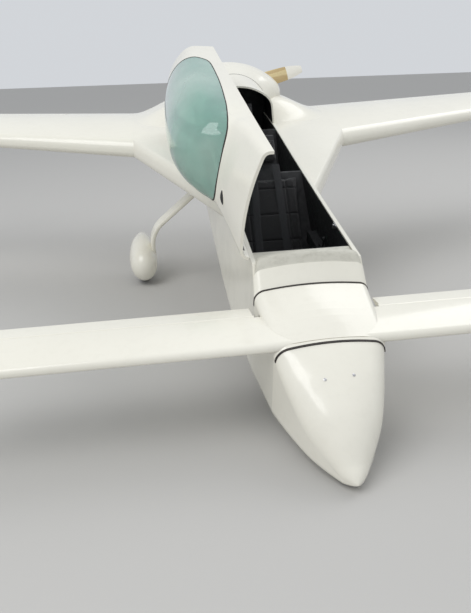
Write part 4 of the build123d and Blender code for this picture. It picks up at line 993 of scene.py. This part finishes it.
def tyre_shape(centre, radius, width, rim):
    """Round-shouldered casing turned about the axle, with bell-shaped grooves cut round its crown."""
    middle, tall, half = (radius + rim) / 2, (radius - rim) / 2, width / 2
    around = np.linspace(0, 2 * math.pi, 132, endpoint=False)
    across = half * np.sign(np.sin(around)) * np.abs(np.sin(around)) ** 0.75
    up = np.sign(np.cos(around)) * np.abs(np.cos(around)) ** 0.7
    crown = np.clip((up - 0.55) / 0.3, 0, 1)
    groove = sum(np.exp(-((across - half * place) / TREAD_HALF) ** 2) for place in TREAD_PLACES)
    r = (middle + tall * up - TREAD_DEPTH * groove * crown)[:, None]
    turn = np.linspace(0, 2 * math.pi, 144, endpoint=False)
    x, y, z = centre
    return ring(np.stack([x + across[:, None] + 0 * turn, y + r * np.cos(turn), z + r * np.sin(turn)], -1))


def make_wheels():
    """Grooved tyres, and six bolts round each side of each hub."""
    for node, body, centre, radius, width, rim in WHEELS:
        make(f"{node}_tread", tyre_shape(centre, radius, width, rim), "tyre", body=body, stands_for=(node,))
        bolts = []
        for side, _, _ in SIDES:
            face = np.array(centre, float) + (side * width * BOLT_FACE, 0, 0)
            for a in np.arange(6) * math.pi / 3:
                place = face + BOLT_CIRCLE * rim * np.array([0, math.cos(a), math.sin(a)])
                bolts.append(lathe(BOLT_PROFILE, place, (side, 0, 0), 6))
        make(f"{body}_bolts", joined(bolts), "steel", body=body)


def make_power():
    """Eight screws round the spinner's foot, and a hollow mouth on each exhaust pipe."""
    screws = []
    for a in np.arange(8) * math.pi / 4 + 0.3:
        out = np.array([math.cos(a), 0, math.sin(a)])
        screws.append(lathe(SCREW_PROFILE, SPINNER_PLACE + SPINNER_R * out, out, 16))
    make("spinner_screws", joined(screws), "steel", body="propeller_assembly")
    sides = [np.array([side, 1, 1]) for side, _, _ in SIDES]
    mouths = [lathe(MOUTH_PROFILE, MOUTH_PLACE * side, MOUTH_AXIS * side, 40) for side in sides]
    make("exhaust_mouths", joined(mouths), "scorched_steel")


def make_lamps():
    """Navigation lamps: a rounded drop on each winglet's outer side at the wing's height."""
    for side, _, name in SIDES:
        lamp = block(LAMP_PLACE * (side, 1, 1), LAMP_HALF, 0.8, rows=20, cols=48)
        make(f"winglet_lamp_{name}", lamp, f"lamp_{name}")


# Studio: lamps as place, size in metres and power in watts

FLOOR_HALF = 60
SKY_COLOUR, SKY_STRENGTH = (0.86, 0.89, 0.93, 1), 0.75
LAMPS = (("lamp_left", (-6, -5, 9), 7, 520), ("lamp_right", (7, 3, 10), 8, 420))
LAMP_TARGET = Vector((0, 0, 0.8))


def studio():
    """Pale floor, soft world light and two broad lamps."""
    floor = bpy.data.meshes.new("floor")
    corners = [(x * FLOOR_HALF, y * FLOOR_HALF, 0) for x, y in ((-1, -1), (1, -1), (1, 1), (-1, 1))]
    floor.from_pydata(corners, [], [(0, 1, 2, 3)])
    floor.materials.append(Finish("floor_grey", (0.5, 0.49, 0.47), 0.9).material)
    plane = bpy.data.objects.new("floor", floor)
    bpy.context.scene.collection.objects.link(plane)
    world = bpy.data.worlds.new("studio")
    bpy.context.scene.world = world
    world.use_nodes = True
    sky = world.node_tree.nodes["Background"].inputs
    sky["Color"].default_value, sky["Strength"].default_value = SKY_COLOUR, SKY_STRENGTH
    for name, place, size, power in LAMPS:
        data = bpy.data.lights.new(name, "AREA")
        data.size, data.energy = size, power
        lamp = bpy.data.objects.new(name, data)
        lamp.location = place
        lamp.rotation_mode = "QUATERNION"
        lamp.rotation_quaternion = (LAMP_TARGET - Vector(place)).to_track_quat("-Z", "Y")
        bpy.context.scene.collection.objects.link(lamp)


aim_camera()
dress_nodes()
make_canopy()
make_vent()
make_rail_seals()
make_latch()
make_nose()
make_covers()
make_nose_caps()
make_cabin_painted_shade()
make_strake_fairings()
make_seats()
make_instruments()
make_wheels()
make_power()
make_lamps()
studio()
bpy.context.scene.view_settings.view_transform = "Standard"
